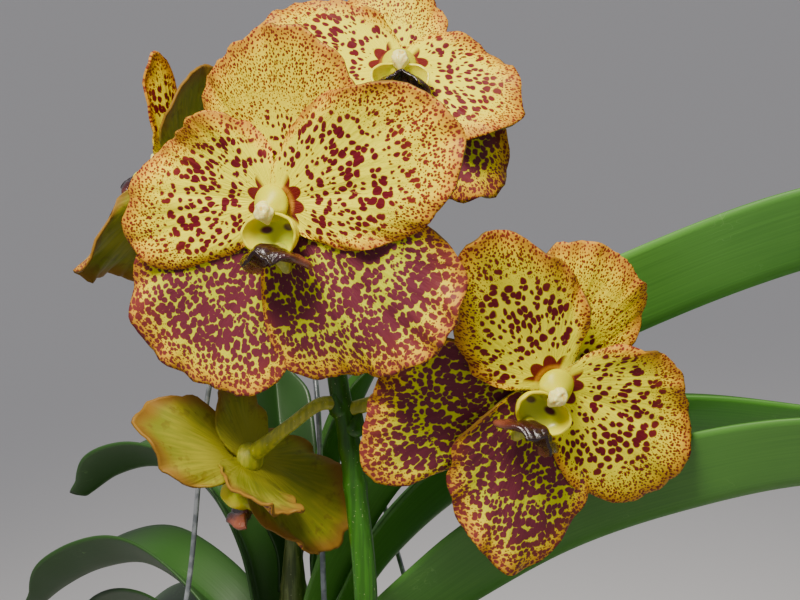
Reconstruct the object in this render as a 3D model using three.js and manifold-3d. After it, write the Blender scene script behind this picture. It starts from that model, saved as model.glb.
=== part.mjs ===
// Potted vanda orchid: clay pot, bark mix, stem with roots, strap leaves, flower spike,
// five blooms and the wire hanger that stands up over the plant.
// Millimetres, +Z up, the plant is seen from -Y, origin at the middle of the pot's flat bottom.
import * as THREE from 'three';
import { mergeVertices } from 'three/addons/utils/BufferGeometryUtils.js';
import Module from 'manifold-3d';

const wasm = await Module();
wasm.setup();

// Driving dimensions
const POT = {
  rimR: 81, rimZ: 118, rimH: 7, rimBand: 12, wallTopR: 71.5, footR: 52,
  wall: 5, floor: 7, edge: 1.5, sides: 26,
};
const DRAIN = { radius: 6, ring: 30, count: 3 };
const BARK = { topZ: 102, lump: 2.6, gap: 0.9, rings: 5, sides: 20, hole: 0.4 };
const STEM = { radius: 6.2, bottomZ: 82, crownZ: 264, topZ: 282 };
const SHEATH = { radius: 7.5, halfAngle: 68, height: 9 };
const LEAF = { thickness: 1.6, cross: [-1, -0.5, 0, 0.5, 1], notch: 5 };
const TEPAL = { thickness: 0.85, fan: 96, claw: 2.4, sideLift: 1.6, topLift: 3.2 };
const SEAT = { radius: 4.7, depth: 3.7, sink: 0.4, bossR: 2.6, bossTop: 4.1 };
const GAP = 0.3;
const WIRE = { radius: 0.9, holeR: 1.7, ring: 75.4 };
const FERRULE = { x: -2.8, y: 11, z: 421, radius: 3, height: 5 };
const HOOK = { radius: 7.5, rise: 12, wireR: 1.1, turns: [-140, -95, -45, 0, 45, 90, 130] };

// Small maths helpers
const rad = (deg) => deg * Math.PI / 180;
const lerp = (a, b, t) => a + (b - a) * t;
const vec = (x, y, z) => new THREE.Vector3(x, y, z);
const polar = (r, az, z) => vec(r * Math.cos(rad(az)), r * Math.sin(rad(az)), z);

function smooth(a, b, x) {
  const t = Math.min(1, Math.max(0, (x - a) / (b - a)));
  return t * t * (3 - 2 * t);
}

// Value at t in 0..1 of a smooth curve through evenly spaced samples.
function sample(list, t) {
  const last = list.length - 1;
  const f = Math.min(1, Math.max(0, t)) * last;
  const i = Math.min(last - 1, Math.floor(f));
  const u = f - i;
  const p1 = list[i];
  const p2 = list[i + 1];
  const p0 = i > 0 ? list[i - 1] : 2 * p1 - p2;
  const p3 = i + 2 <= last ? list[i + 2] : 2 * p2 - p1;
  return 0.5 * (2 * p1 + (p2 - p0) * u + (2 * p0 - 5 * p1 + 4 * p2 - p3) * u * u
    + (3 * p1 - p0 - 3 * p2 + p3) * u * u * u);
}

// Seeded random numbers in 0..1
function random(seed) {
  let state = seed;
  return () => {
    state = (state * 1664525 + 1013904223) % 4294967296;
    return state / 4294967296;
  };
}

// Solids. solid() closes a vertex and triangle list, turned the right way out.
function solid(positions, triangles) {
  const kept = triangles.filter(([a, b, c]) => a !== b && b !== c && c !== a);
  const at = (i) => vec(positions[3 * i], positions[3 * i + 1], positions[3 * i + 2]);
  const volume = kept.reduce((sum, [a, b, c]) => sum + at(a).dot(at(b).cross(at(c))), 0);
  const order = volume < 0 ? kept.map(([a, b, c]) => [a, c, b]) : kept;
  return new wasm.Manifold(new wasm.Mesh({
    numProp: 3, vertProperties: new Float32Array(positions), triVerts: new Uint32Array(order.flat()),
  }));
}

// A three.js geometry as a solid, with its shared vertices merged.
function solidOf(geometry) {
  const bare = geometry.clone();
  bare.deleteAttribute('normal');
  bare.deleteAttribute('uv');
  const merged = mergeVertices(bare, 1e-4);
  const index = merged.index.array;
  const triangles = Array.from({ length: index.length / 3 }, (_, k) => [...index.slice(3 * k, 3 * k + 3)]);
  return solid(merged.attributes.position.array, triangles);
}

function ball(centre, rx, ry, rz, sides) {
  const geometry = new THREE.SphereGeometry(1, sides, Math.round(sides * 0.6));
  geometry.rotateX(Math.PI / 2).scale(rx, ry, rz).translate(centre.x, centre.y, centre.z);
  return solidOf(geometry);
}

function rod(base, radius, height, sides) {
  const geometry = new THREE.CylinderGeometry(radius, radius, height, sides);
  geometry.rotateX(Math.PI / 2).translate(base.x, base.y, base.z + height / 2);
  return solidOf(geometry);
}

// A closed cylinder whose rings are moved where place(ring, x, z) puts them,
// with x and z on the unit circle, or 0 at the middle of each end.
function ringed(sides, count, place) {
  const geometry = new THREE.CylinderGeometry(1, 1, 1, sides, count);
  const { position } = geometry.attributes;
  for (let i = 0; i < position.count; i += 1) {
    const ring = Math.round((0.5 - position.getY(i)) * count);
    position.setXYZ(i, ...place(ring, position.getX(i), position.getZ(i)).toArray());
  }
  return solidOf(geometry);
}

// A round tube along points, its radius sampled from a list. With no ring count
// it has a ring at each point and one between.
function tube(points, radii, sides, ringCount = 0) {
  const curve = new THREE.CatmullRomCurve3(points, false, 'centripetal');
  const count = ringCount || (points.length - 1) * 2;
  const frames = [];
  for (let i = 0; i <= count; i += 1) {
    const t = i / count;
    const centre = ringCount ? curve.getPointAt(t) : curve.getPoint(t);
    const dir = ringCount ? curve.getTangentAt(t) : curve.getTangent(t);
    const steady = Math.abs(dir.z) < 0.9 ? vec(0, 0, 1) : vec(1, 0, 0);
    const before = i > 0 ? frames[i - 1].side : steady.cross(dir);
    const side = before.clone().addScaledVector(dir, -before.dot(dir)).normalize();
    frames.push({ centre, side, up: dir.clone().cross(side), radius: sample(radii, t) });
  }
  return ringed(sides, count, (ring, x, z) => {
    const { centre, side, up, radius } = frames[ring];
    return centre.clone().addScaledVector(side, x * radius).addScaledVector(up, z * radius);
  });
}

// A closed sheet of even thickness about a grid of middle points, both faces split alike.
function sheet(grid, thickness) {
  const rows = grid.length;
  const cols = grid[0].length;
  const faces = [[], []];
  for (let i = 0; i < rows; i += 1) {
    for (let j = 0; j < cols; j += 1) {
      const along = grid[Math.min(rows - 1, i + 1)][j].clone().sub(grid[Math.max(0, i - 1)][j]);
      const across = grid[i][Math.min(cols - 1, j + 1)].clone().sub(grid[i][Math.max(0, j - 1)]);
      const half = along.cross(across).setLength(thickness / 2);
      faces[0].push(grid[i][j].clone().add(half));
      faces[1].push(grid[i][j].clone().sub(half));
    }
  }
  const id = (i, j) => i * cols + j;
  const under = rows * cols;
  const triangles = [];
  for (let i = 0; i < rows - 1; i += 1) {
    for (let j = 0; j < cols - 1; j += 1) {
      const quad = [id(i, j), id(i + 1, j), id(i + 1, j + 1), id(i, j + 1)];
      triangles.push([quad[0], quad[1], quad[2]], [quad[0], quad[2], quad[3]]);
      triangles.push([under + quad[0], under + quad[2], under + quad[1]]);
      triangles.push([under + quad[0], under + quad[3], under + quad[2]]);
    }
  }
  const rim = [];
  for (let i = 0; i < rows; i += 1) rim.push(id(i, 0));
  for (let j = 1; j < cols; j += 1) rim.push(id(rows - 1, j));
  for (let i = rows - 2; i >= 0; i -= 1) rim.push(id(i, cols - 1));
  for (let j = cols - 2; j > 0; j -= 1) rim.push(id(0, j));
  rim.forEach((a, k) => {
    const b = rim[(k + 1) % rim.length];
    triangles.push([a, under + a, under + b], [a, under + b, b]);
  });
  return solid(faces.flat().flatMap((p) => p.toArray()), triangles);
}

const join = (list) => list.reduce((a, b) => a.add(b));

// The main body of a joined or cut solid, without loose scraps and sealed pockets.
function whole(body) {
  return body.decompose().reduce((a, b) => (b.volume() > a.volume() ? b : a));
}

// Blooms. Each has its own frame: z faces out of the bloom and y points to its upper sepal.
// face holds its turn to +X, its tip upwards and its lean to +X, in degrees.
// A tepal has an axis angle, nine outline radii from -96 to 96 degrees about that axis,
// lift over its neighbours, pitch forward, a bend of its end and a phase for its ruffled margin.
const DORSAL = [3, 7, 23, 36, 40, 36, 23, 7, 3];
const PETAL = [3, 9, 27, 39, 43, 40, 26, 9, 3];
const SEPAL = [3, 9, 27, 40, 46, 41, 25, 8, 3];
const { sideLift, topLift } = TEPAL;

const BLOOMS = [
  {
    name: 'flower_1', at: [3, -78.6, 400.5], face: [-27, -6, -10], rows: 3, cols: 10,
    tepals: [
      { axis: 231, radii: [3, 8, 42, 67, 65, 54, 24, 7, 3], pitch: 2, bend: 2, phase: 0.6 },
      { axis: 306, radii: [3, 9, 48, 53, 61, 60, 34, 9, 3], lift: sideLift, pitch: 2, bend: -2, phase: 2.2 },
      { axis: 78, radii: [3, 8, 30, 47.5, 50, 43, 32, 9, 3], pitch: 1, bend: 3, phase: 1.2 },
      { axis: 168, radii: [3, 21, 33, 38, 48, 52, 21, 8, 3], lift: topLift, pitch: 2, bend: -1, phase: 0.2 },
      { axis: 0, radii: [3, 6, 18, 38, 59, 58, 38, 17, 4], lift: topLift, pitch: 3, bend: -2, phase: 2.9 },
    ],
  },
  {
    name: 'flower_2', at: [79.1, -74.5, 348.6], face: [12, -14, 34], rows: 3, cols: 10,
    tepals: [
      { axis: 228, radii: [3, 8, 24, 45, 54, 56, 15, 6, 3], pitch: -2, bend: -4, phase: 0.4 },
      { axis: 296, radii: [3, 8, 32, 48, 62, 45, 17, 6, 3], lift: sideLift, pitch: 3, bend: 2, phase: 1.7 },
      { axis: 98, radii: [4, 7, 25, 36, 41, 40, 26, 8, 3], pitch: -2, bend: -2, phase: 2.5 },
      { axis: 156, radii: [3, 9, 27, 41, 55, 37, 25, 7, 3], lift: topLift, pitch: 2, bend: 1, phase: 0.9 },
      { axis: 8, radii: [3, 10, 36, 54, 49, 39, 29, 9, 3], lift: topLift, pitch: 2, bend: -3, phase: 2 },
    ],
  },
  {
    name: 'flower_3', at: [35.4, -26.6, 433.2], face: [4, 34, 2], rows: 3, cols: 8,
    tepals: [
      { axis: 240, radii: SEPAL, pitch: -12, bend: -5, phase: 0.5 },
      {
        axis: 313, radii: [3, 9, 26, 39, 45, 37, 19, 8, 3], lift: sideLift, pitch: -16, bend: -5, phase: 1.5,
      },
      { axis: 94, radii: [3, 8, 23, 29, 32, 30, 23, 8, 3], pitch: 12, bend: -2, phase: 2.5 },
      { axis: 159, radii: [3, 9, 18, 31, 43, 42, 25, 9, 3], lift: topLift, pitch: 7, bend: -1, phase: 0.1 },
      { axis: -2, radii: [3, 10, 31, 40, 37, 27, 18, 8, 3], lift: topLift, pitch: 1, bend: -1, phase: 2.8 },
    ],
  },
  {
    name: 'flower_4', at: [-34.7, -5.3, 401.5], face: [-130, 20, 0], rows: 3, cols: 8,
    tepals: [
      { axis: 247, radii: SEPAL, pitch: 2, bend: 4, phase: 1.2, reach: 0.84 },
      { axis: 284, radii: [3, 14, 34, 45, 44, 46, 20, 8, 3], lift: sideLift, pitch: 2, bend: 8, phase: 2.1 },
      { axis: 100, radii: DORSAL, pitch: 4, bend: 2, phase: 1.1, reach: 0.86 },
      { axis: 162, radii: PETAL, lift: topLift, pitch: 4, bend: 4, phase: 1.9, reach: 0.8 },
      { axis: 72, radii: [3, 5, 9, 17, 38, 17, 9, 6, 3], lift: topLift, pitch: 8, bend: 4, phase: 0.4 },
    ],
  },
  {
    name: 'flower_5', at: [-10.7, -37.8, 315.2], face: [-140, -34, 8], rows: 3, cols: 8,
    tepals: [
      { axis: 232, radii: [3, 10, 24, 31, 40, 38, 28, 13, 4], pitch: 0, bend: 1, phase: 0.3 },
      { axis: 312, radii: SEPAL, lift: sideLift, pitch: -34, bend: -8, phase: 1.8, reach: 0.64 },
      { axis: 104, radii: [3, 6, 12, 20, 26, 20, 12, 6, 3], pitch: 4, bend: -3, phase: 1.4 },
      { axis: 42, radii: [3, 8, 20, 30, 38, 30, 15, 7, 3], lift: topLift, pitch: 2, bend: 1, phase: 0.7 },
      { axis: 160, radii: PETAL, lift: topLift, pitch: 6, bend: 3, phase: 2.6, reach: 0.5 },
    ],
  },
];

// The bloom's frame as a turned and placed group, and as a map to the plant's frame.
function bloomGroup({ name, at, face }) {
  const [yaw, pitch, roll] = face.map(rad);
  const z = vec(Math.sin(yaw) * Math.cos(pitch), -Math.cos(yaw) * Math.cos(pitch), Math.sin(pitch));
  const flat = vec(Math.cos(yaw), Math.sin(yaw), 0);
  const x = flat.clone().applyAxisAngle(z, -roll);
  const group = new THREE.Group();
  group.name = name;
  group.quaternion.setFromRotationMatrix(new THREE.Matrix4().makeBasis(x, z.clone().cross(x), z));
  group.position.set(...at);
  group.updateMatrix();
  return group;
}

// A point of a tepal at s in -1..1 round its fan and q in 0..1 from the claw to the margin.
function tepalPoint(t, s, q) {
  const { axis, radii, lift = 0, pitch, bend, phase, reach = 1, wave = 1.6 } = t;
  const phi = rad(TEPAL.fan) * (0.8 * s + 0.2 * s ** 3);
  const edge = sample(radii, 0.5 + 0.5 * phi / rad(TEPAL.fan)) * reach;
  const r = lerp(TEPAL.claw, edge, q);
  const u = r * Math.cos(phi);
  const v = r * Math.sin(phi);
  const out = Math.max(0, u) / (Math.max(...radii) * reach);
  const ruffle = wave * q ** 3 * smooth(6, 22, edge) * Math.sin(6.4 * phi + phase);
  const groove = 0.7 * Math.exp(-((v / 2.2) ** 2)) * smooth(3, 14, r) * (1 - q * q);
  const z = lift * smooth(1.2, 4.4, r) + Math.tan(rad(pitch)) * Math.max(0, u - 3)
    + bend * out ** 2.2 + ruffle - groove;
  return vec(u, v, z).applyAxisAngle(vec(0, 0, 1), rad(axis));
}

// The five tepals of one bloom, grown together at the seat of its column.
function tepals({ tepals: list, rows, cols }) {
  const blades = list.map((t) => sheet(Array.from({ length: rows + 1 }, (_, i) => (
    Array.from({ length: cols + 1 }, (__, j) => tepalPoint(t, -1 + 2 * j / cols, (i / rows) ** 0.85))
  )), TEPAL.thickness));
  const seat = ball(vec(0, 0, -SEAT.sink), SEAT.radius, SEAT.radius, SEAT.depth, 8);
  const boss = rod(vec(0, 0.3, 0), SEAT.bossR, SEAT.bossTop, 8);
  return whole(join([...blades, seat, boss]));
}

const LIP_HALVES = [8.6, 10.2, 8.8, 6.6, 4.4];

// Column and its anther cap, grown by a margin where it is used as a cutter.
function column(grow = 0) {
  const foot = SEAT.bossTop + GAP;
  const body = tube([vec(0, 0.3, foot - grow), vec(0, 0.3, foot + 3.2), vec(0, 0, foot + 5.6)],
    [4.4, 5.2, 4.9, 3.4].map((r) => r + grow), 8, 3);
  return body.add(ball(vec(0, -1.2, foot + 6), 2.9 + grow, 3.1 + grow, 2.7 + grow, 8));
}

// Lip: a cup below the column, a shield-shaped tongue whose sides turn down, and a short spur.
function lip() {
  const brim = rod(vec(0, -8, 10.4), 15, 20, 6);
  const cup = ball(vec(0, -8.2, 9.3), 9.2, 6.8, 5.4, 10).subtract(ball(vec(0, -7.9, 11.2), 7.9, 5.6, 5.4, 10))
    .subtract(brim);
  const grid = [0, 0.25, 0.5, 0.75, 1].map((t) => [-1, -0.5, 0, 0.5, 1].map((s) => {
    const ridge = 0.8 * Math.cos(s * Math.PI * 2);
    const y = lerp(-13.6, -9.6, t) - lerp(3.2, 2.4, t) * s * s + ridge - 1.6 * smooth(0.7, 1, t);
    return vec(s * sample(LIP_HALVES, t), y, lerp(8.8, 20, t) - 2.4 * s * s * (1 - t));
  }));
  const spur = tube([vec(0, -11.5, 8), vec(0, -16, 6.2), vec(0, -20, 5)], [3, 2.4, 1], 5, 3);
  return whole(join([cup, sheet(grid, 2.6), spur]).subtract(column(GAP)));
}

// Leaves. az is a leaf's compass angle, base the height where it clasps the stem and
// path its distance from the plant's axis and height on the way to its tip.
const LEAVES = [
  { name: 'leaf_right_1', az: -18, base: 232, width: 29, roll: 24,
    path: [[14, 256], [38, 299], [74, 331], [117, 356], [164, 377], [212, 391], [246, 394]] },
  { name: 'leaf_right_2', az: -4, base: 209, width: 22, roll: 12,
    path: [[13, 236], [33, 271], [70, 302], [118, 315], [164, 313], [206, 308], [232, 300]] },
  { name: 'leaf_right_3', az: -20, base: 185, width: 29, roll: 24,
    path: [[14, 210], [34, 240], [64, 263], [97, 285], [132, 301], [170, 313], [214, 317], [240, 313]] },
  { name: 'leaf_right_4', az: -18, base: 161, width: 23, roll: 10,
    path: [[14, 186], [36, 207], [70, 221], [108, 226], [150, 218], [184, 202]] },
  { name: 'leaf_right_5', az: -28, base: 137, width: 21, roll: 4,
    path: [[14, 161], [36, 177], [70, 184], [104, 178], [134, 160]] },
  { name: 'leaf_left_1', az: 145, base: 220, width: 17, roll: -5,
    path: [[14, 245], [22, 270], [38, 289], [60, 293], [80, 287], [97, 276]] },
  { name: 'leaf_left_2', az: 140, base: 196, width: 18, roll: -5,
    path: [[15, 220], [30, 237], [47, 247], [72, 253], [98, 246], [122, 233], [137, 222]] },
  { name: 'leaf_left_3', az: 126, base: 173, width: 21, roll: -6,
    path: [[15, 196], [36, 214], [66, 224], [100, 219], [132, 202], [156, 177]] },
  { name: 'leaf_left_4', az: 150, base: 149, width: 21, roll: 0,
    path: [[15, 171], [36, 186], [70, 193], [106, 184], [138, 165], [158, 143]] },
  { name: 'leaf_left_5', az: 140, base: 126, width: 20, roll: 0,
    path: [[15, 147], [36, 160], [68, 163], [98, 152], [122, 134]] },
  { name: 'leaf_crown_tall', az: 103, base: 256, width: 15, clasp: 34, fold: [60, 50, 46, 46, 50],
    path: [[11, 277], [20, 298], [30, 316], [36, 328]] },
  { name: 'leaf_crown_young', az: 6, base: 262, width: 10, clasp: 34, fold: [60, 48, 42, 40, 42],
    path: [[11, 283], [14, 298], [19, 314], [25, 328], [29, 336]] },
];

// Half width along a leaf, as a share of its full half width
const LEAF_TAPER = [0.36, 0.56, 0.86, 1, 1, 1, 0.97, 0.86, 0.3];
const LEAF_ROWS = 10;

// A half tube round the stem that opens into a folded, arching blade.
function leaf({ az, path, width, base, fold = [62, 54, 50, 52, 58], roll = 0, clasp = SHEATH.halfAngle }) {
  const out = polar(1, az, 0);
  const side = polar(1, az + 90, 0);
  const route = [[SHEATH.radius, base], [SHEATH.radius, base + SHEATH.height], ...path];
  const curve = new THREE.CatmullRomCurve3(route.map(([d, z]) => vec(d, 0, z)), false, 'centripetal');
  const length = curve.getLength();
  const grid = Array.from({ length: LEAF_ROWS + 1 }, (_, i) => {
    const t = i === 0 ? 0 : lerp(SHEATH.height / length, 1, (i - 1) / (LEAF_ROWS - 1));
    const point = curve.getPointAt(t);
    const heading = curve.getTangentAt(t);
    const centre = out.clone().multiplyScalar(point.x).setZ(point.z);
    const along = out.clone().multiplyScalar(heading.x).setZ(heading.z).normalize();
    const turn = rad(roll) * smooth(0.12, 0.45, t);
    const across = side.clone().applyAxisAngle(along, -turn);
    const inward = along.clone().cross(across);
    const opened = smooth(SHEATH.height, 30, t * length);
    const half = width * sample(LEAF_TAPER, t);
    const open = rad(sample(fold, t));
    return LEAF.cross.map((v) => {
      const bow = Math.sqrt(v * v + 0.01) - 0.1;
      const x = lerp(SHEATH.radius * Math.sin(rad(clasp) * v), half * v * Math.sin(open), opened);
      const y = lerp(SHEATH.radius * (1 - Math.cos(rad(clasp) * v)), half * bow * Math.cos(open), opened);
      const lobe = i === LEAF_ROWS ? LEAF.notch * Math.abs(v) * (v > 0 ? 0.6 : 1) : 0;
      return centre.clone().addScaledVector(across, x).addScaledVector(inward, y)
        .addScaledVector(along, lobe);
    });
  });
  return sheet(grid, LEAF.thickness);
}

// Flower spike: its route, the start of each bloom's stalk, and small bracts where they leave it.
const SPIKE = [
  [-4, -9.1, 166], [1, -17, 182], [14, -27, 206], [23.5, -36.5, 236], [25.4, -45.5, 271], [22.7, -44.6, 303],
  [20.3, -43.2, 322], [17, -41.5, 340], [14.5, -36.5, 364], [13.5, -26, 390], [14.5, -15, 411],
];
const SPIKE_RADII = [3.2, 4, 4, 3.8, 3.7, 3.6, 3.3, 3, 2.7, 1.8];
const STALKS = {
  flower_1: [[14.2, -35.5, 366], [15, -44, 380], [11, -58, 395]],
  flower_2: [[19.4, -42.5, 331], [36, -44, 337], [60, -54, 350]],
  flower_3: [[14, -21, 399], [23, -12, 412], [32, -10, 424]],
  flower_4: [[13.6, -27.6, 387], [6, -20, 392], [-6, -10, 397]],
  flower_5: [[18.4, -42.3, 333], [12, -45, 334], [3, -46.5, 328]],
};
const STALK_RADII = [2.3, 2.1, 2, 2, 2.3, 2.7];
const BRACTS = [
  { at: [24.6, -44.4, 264], to: [-4.5, -2.7, 7.2], radius: 4.4 },
  { at: [20.4, -43, 323], to: [3.6, -0.9, 8.1], radius: 4 },
  { at: [18.4, -42, 329], to: [-2.7, -2.7, 8.1], radius: 3.8 },
  { at: [14.6, -36, 362], to: [0, -4.5, 7.8], radius: 3.4 },
];

function spike(groups) {
  const stalks = groups.map((group) => {
    const behind = (d) => vec(0, 0, -d).applyMatrix4(group.matrix);
    const start = STALKS[group.name].map((p) => vec(...p));
    return tube([...start, behind(11), behind(SEAT.depth + SEAT.sink + GAP)], STALK_RADII, 6, 5);
  });
  const bracts = BRACTS.map(({ at, to, radius }) => {
    const [root, arm] = [vec(...at), vec(...to)];
    return tube([root, root.clone().addScaledVector(arm, 0.55), root.clone().add(arm)],
      [radius, radius * 0.8, 0.5], 6, 2);
  });
  return whole(join([tube(SPIKE.map((p) => vec(...p)), SPIKE_RADII, 7, 13), ...stalks, ...bracts]));
}

// Roots: some go down into the bark, some arch over the rim.
const ROOTS = [
  [[5, -2, 108], [22, -10, 112], [40, -18, 108], [50, -22, 92]],
  [[-4, -4, 112], [-16, -24, 117], [-28, -42, 110], [-34, -50, 90]],
  [[1, 5, 110], [8, 24, 115], [14, 42, 109], [17, 50, 90]],
  [[-4, 2, 111], [-26, 8, 118], [-44, 14, 111], [-54, 17, 92]],
  [[1, -3, 114], [8, -30, 127], [14, -58, 130], [20, -82, 124], [25, -93, 100], [24, -94, 70]],
  [[3, 2, 114], [30, 16, 127], [58, 34, 131], [78, 44, 124], [88, 50, 96]],
  [[-2, 2, 114], [-22, 28, 128], [-44, 56, 132], [-58, 74, 122], [-64, 82, 92], [-61, 80, 62]],
  [[-5, -2, 104], [-22, -12, 108], [-38, -20, 104], [-46, -25, 90]],
];

// Stem and roots in one, grown by a margin where they cut their holes in the bark.
function stemWithRoots(grow = 0) {
  const heights = [STEM.bottomZ, 150, 215, STEM.crownZ, STEM.topZ];
  const stemRadii = [6.8, ...new Array(6).fill(STEM.radius), 4.6, 2];
  const stem = tube(heights.map((z) => vec(0, 0, z)), stemRadii.map((r) => r + grow), 10);
  const roots = ROOTS.map((path, k) => {
    const r = 2.9 - 0.12 * (k % 4);
    const taper = [r + 0.4, r, r, r * 0.95, r * 0.7];
    return tube(path.map((p) => vec(...p)), taper.map((each) => each + grow), 5, 7);
  });
  return join([stem, ...roots]);
}

// Wires: each goes from a foot under the rim, up through a hole in it and in to the ferrule.
const WIRES = [
  { name: 'hanger_wire_left', az: -160,
    bow: [[-60, -22, 170], [-36.6, -9.5, 251], [-26.5, -2, 332]] },
  { name: 'hanger_wire_front', az: -70,
    bow: [[21, -57, 165], [12.3, -33, 255], [9.5, -14.5, 325], [7.8, -7, 338]] },
  { name: 'hanger_wire_right', az: 20,
    bow: [[60, 22, 175], [36, 20, 262], [19.6, 18.2, 325]] },
  { name: 'hanger_wire_back', az: 100,
    bow: [[-12, 70, 175], [-8.5, 60, 225], [-9, 50, 275], [-12, 39, 325]] },
];

function hangerWire({ az, bow }) {
  const under = POT.rimZ - POT.rimH;
  const foot = [polar(WIRE.ring + 8, az, under - 9), polar(WIRE.ring + 2.4, az, under - 8.4)];
  const rise = [under - 4, under, POT.rimZ + 4].map((z) => polar(WIRE.ring, az, z));
  const end = vec(FERRULE.x, FERRULE.y, FERRULE.z - GAP).add(polar(1.7, az, 0));
  return tube([...foot, ...rise, ...bow.map((p) => vec(...p)), end], [WIRE.radius, WIRE.radius], 5);
}

function hangerHook() {
  const ferrule = rod(vec(FERRULE.x, FERRULE.y, FERRULE.z), FERRULE.radius, FERRULE.height, 12);
  const bend = HOOK.turns.map((deg) => [
    HOOK.radius * Math.sin(rad(deg)), HOOK.rise + HOOK.radius * Math.cos(rad(deg)),
  ]);
  const route = [[0, FERRULE.height - 2], [-0.6, FERRULE.height + 0.6], ...bend];
  const hook = tube(route.map(([x, z]) => vec(FERRULE.x + x, FERRULE.y, FERRULE.z + z)),
    [HOOK.wireR, HOOK.wireR], 6, 18);
  return ferrule.add(hook);
}

// Pot: a turned wall with a broad rim band, drain holes round the middle and a hole for each wire.
const wallTopZ = POT.rimZ - POT.rimH - 3;
const innerTopR = POT.wallTopR - POT.wall;
const innerFootR = POT.footR - POT.wall + 1;

function pot() {
  const { rimR, rimZ, rimH, rimBand, footR, wallTopR, floor, edge } = POT;
  const band = rimR - rimBand;
  const profile = [
    [0, 0], [footR - edge, 0], [footR, edge], [wallTopR, wallTopZ],
    [rimR - edge, rimZ - rimH], [rimR, rimZ - rimH + edge], [rimR, rimZ - edge], [rimR - edge, rimZ],
    [band + edge, rimZ], [band, rimZ - edge], [innerTopR, wallTopZ], [innerFootR, floor], [0, floor],
  ].map(([r, z]) => new THREE.Vector2(r, z));
  const body = solidOf(new THREE.LatheGeometry(profile, POT.sides).rotateX(Math.PI / 2));
  const drains = Array.from({ length: DRAIN.count }, (_, k) => (
    rod(polar(DRAIN.ring, 90 + 360 * k / DRAIN.count, -5), DRAIN.radius, floor + 10, 14)));
  const holes = WIRES.map((w) => rod(polar(WIRE.ring, w.az, rimZ - rimH - 10), WIRE.holeR, rimH + 20, 10));
  return [...drains, ...holes].reduce((a, b) => a.subtract(b), body);
}

// Bark mix: it fills the pot, with a lumpy top and plain holes for the stem and roots.
function bark() {
  const next = random(11);
  const bottomZ = POT.floor + GAP;
  const edgeZ = BARK.topZ - 5;
  const edgeR = lerp(innerFootR, innerTopR, (edgeZ - POT.floor) / (wallTopZ - POT.floor)) - BARK.gap;
  const rings = [{ r: innerFootR - BARK.gap, z: bottomZ, lump: 0 }, { r: edgeR, z: edgeZ, lump: 1 }];
  for (let i = BARK.rings; i >= 1; i -= 1) {
    const z = BARK.topZ - (i === BARK.rings ? 3 : 0);
    rings.push({ r: edgeR * (i - 0.4) / BARK.rings, z, lump: BARK.lump });
  }
  const lumps = rings.map(({ lump }) => Array.from({ length: BARK.sides }, () => lump * (next() * 2 - 1)));
  const body = ringed(BARK.sides, rings.length - 1, (ring, x, z) => {
    const { r, z: height } = rings[ring];
    const k = Math.round(Math.atan2(z, x) / (2 * Math.PI) * BARK.sides + BARK.sides) % BARK.sides;
    const middle = Math.hypot(x, z) < 0.5;
    return vec(x * r, z * r, height + (middle ? 0 : lumps[ring][k]));
  });
  return body.subtract(stemWithRoots(BARK.hole));
}

// Assembly
const plant = new THREE.Group();
plant.name = 'potted_vanda_orchid';

const finish = (color, roughness, metalness = 0) => ({ color, roughness, metalness });
const FINISH = {
  clay: finish(0xa9583a, 0.8),
  bark: finish(0x4f3423, 0.95),
  root: finish(0x8f9a72, 0.7),
  leaf: finish(0x3d6b22, 0.45),
  spike: finish(0x7fae3a, 0.5),
  tepal: finish(0xe2c22a, 0.5),
  lip: finish(0x5a1a18, 0.35),
  column: finish(0xf2e6b0, 0.4),
  wire: finish(0x9a9a96, 0.35, 1),
};

function add(parent, name, body, look) {
  const { vertProperties, triVerts } = body.getMesh();
  const geometry = new THREE.BufferGeometry();
  geometry.setAttribute('position', new THREE.BufferAttribute(vertProperties, 3));
  geometry.setIndex(new THREE.BufferAttribute(triVerts, 1));
  geometry.computeVertexNormals();
  const mesh = new THREE.Mesh(geometry, new THREE.MeshStandardMaterial(look));
  mesh.name = name;
  parent.add(mesh);
}

add(plant, 'pot', pot(), FINISH.clay);
add(plant, 'bark_mix', bark(), FINISH.bark);
add(plant, 'stem_with_roots', stemWithRoots(), FINISH.root);
LEAVES.forEach((spec) => add(plant, spec.name, leaf(spec), FINISH.leaf));
const groups = BLOOMS.map(bloomGroup);
add(plant, 'flower_spike', spike(groups), FINISH.spike);
BLOOMS.forEach((bloom, k) => {
  add(groups[k], `${bloom.name}_tepals`, tepals(bloom), FINISH.tepal);
  add(groups[k], `${bloom.name}_lip`, lip(), FINISH.lip);
  add(groups[k], `${bloom.name}_column`, column(), FINISH.column);
  plant.add(groups[k]);
});
WIRES.forEach((wire) => add(plant, wire.name, hangerWire(wire), FINISH.wire));
add(plant, 'hanger_hook', hangerHook(), FINISH.wire);

export default plant;
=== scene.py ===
"""Potted vanda orchid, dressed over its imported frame.

Drawing sizes are millimetres, +Z up, with the plant seen from -Y. Each piece is turned into metres
when its mesh is placed.
"""
import logging
import math
import random
from dataclasses import dataclass, field
from enum import Enum
from functools import partial
from typing import Callable, Iterable, Optional, Sequence, Union

import bpy
from mathutils import Euler, Matrix, Vector, noise


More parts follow.
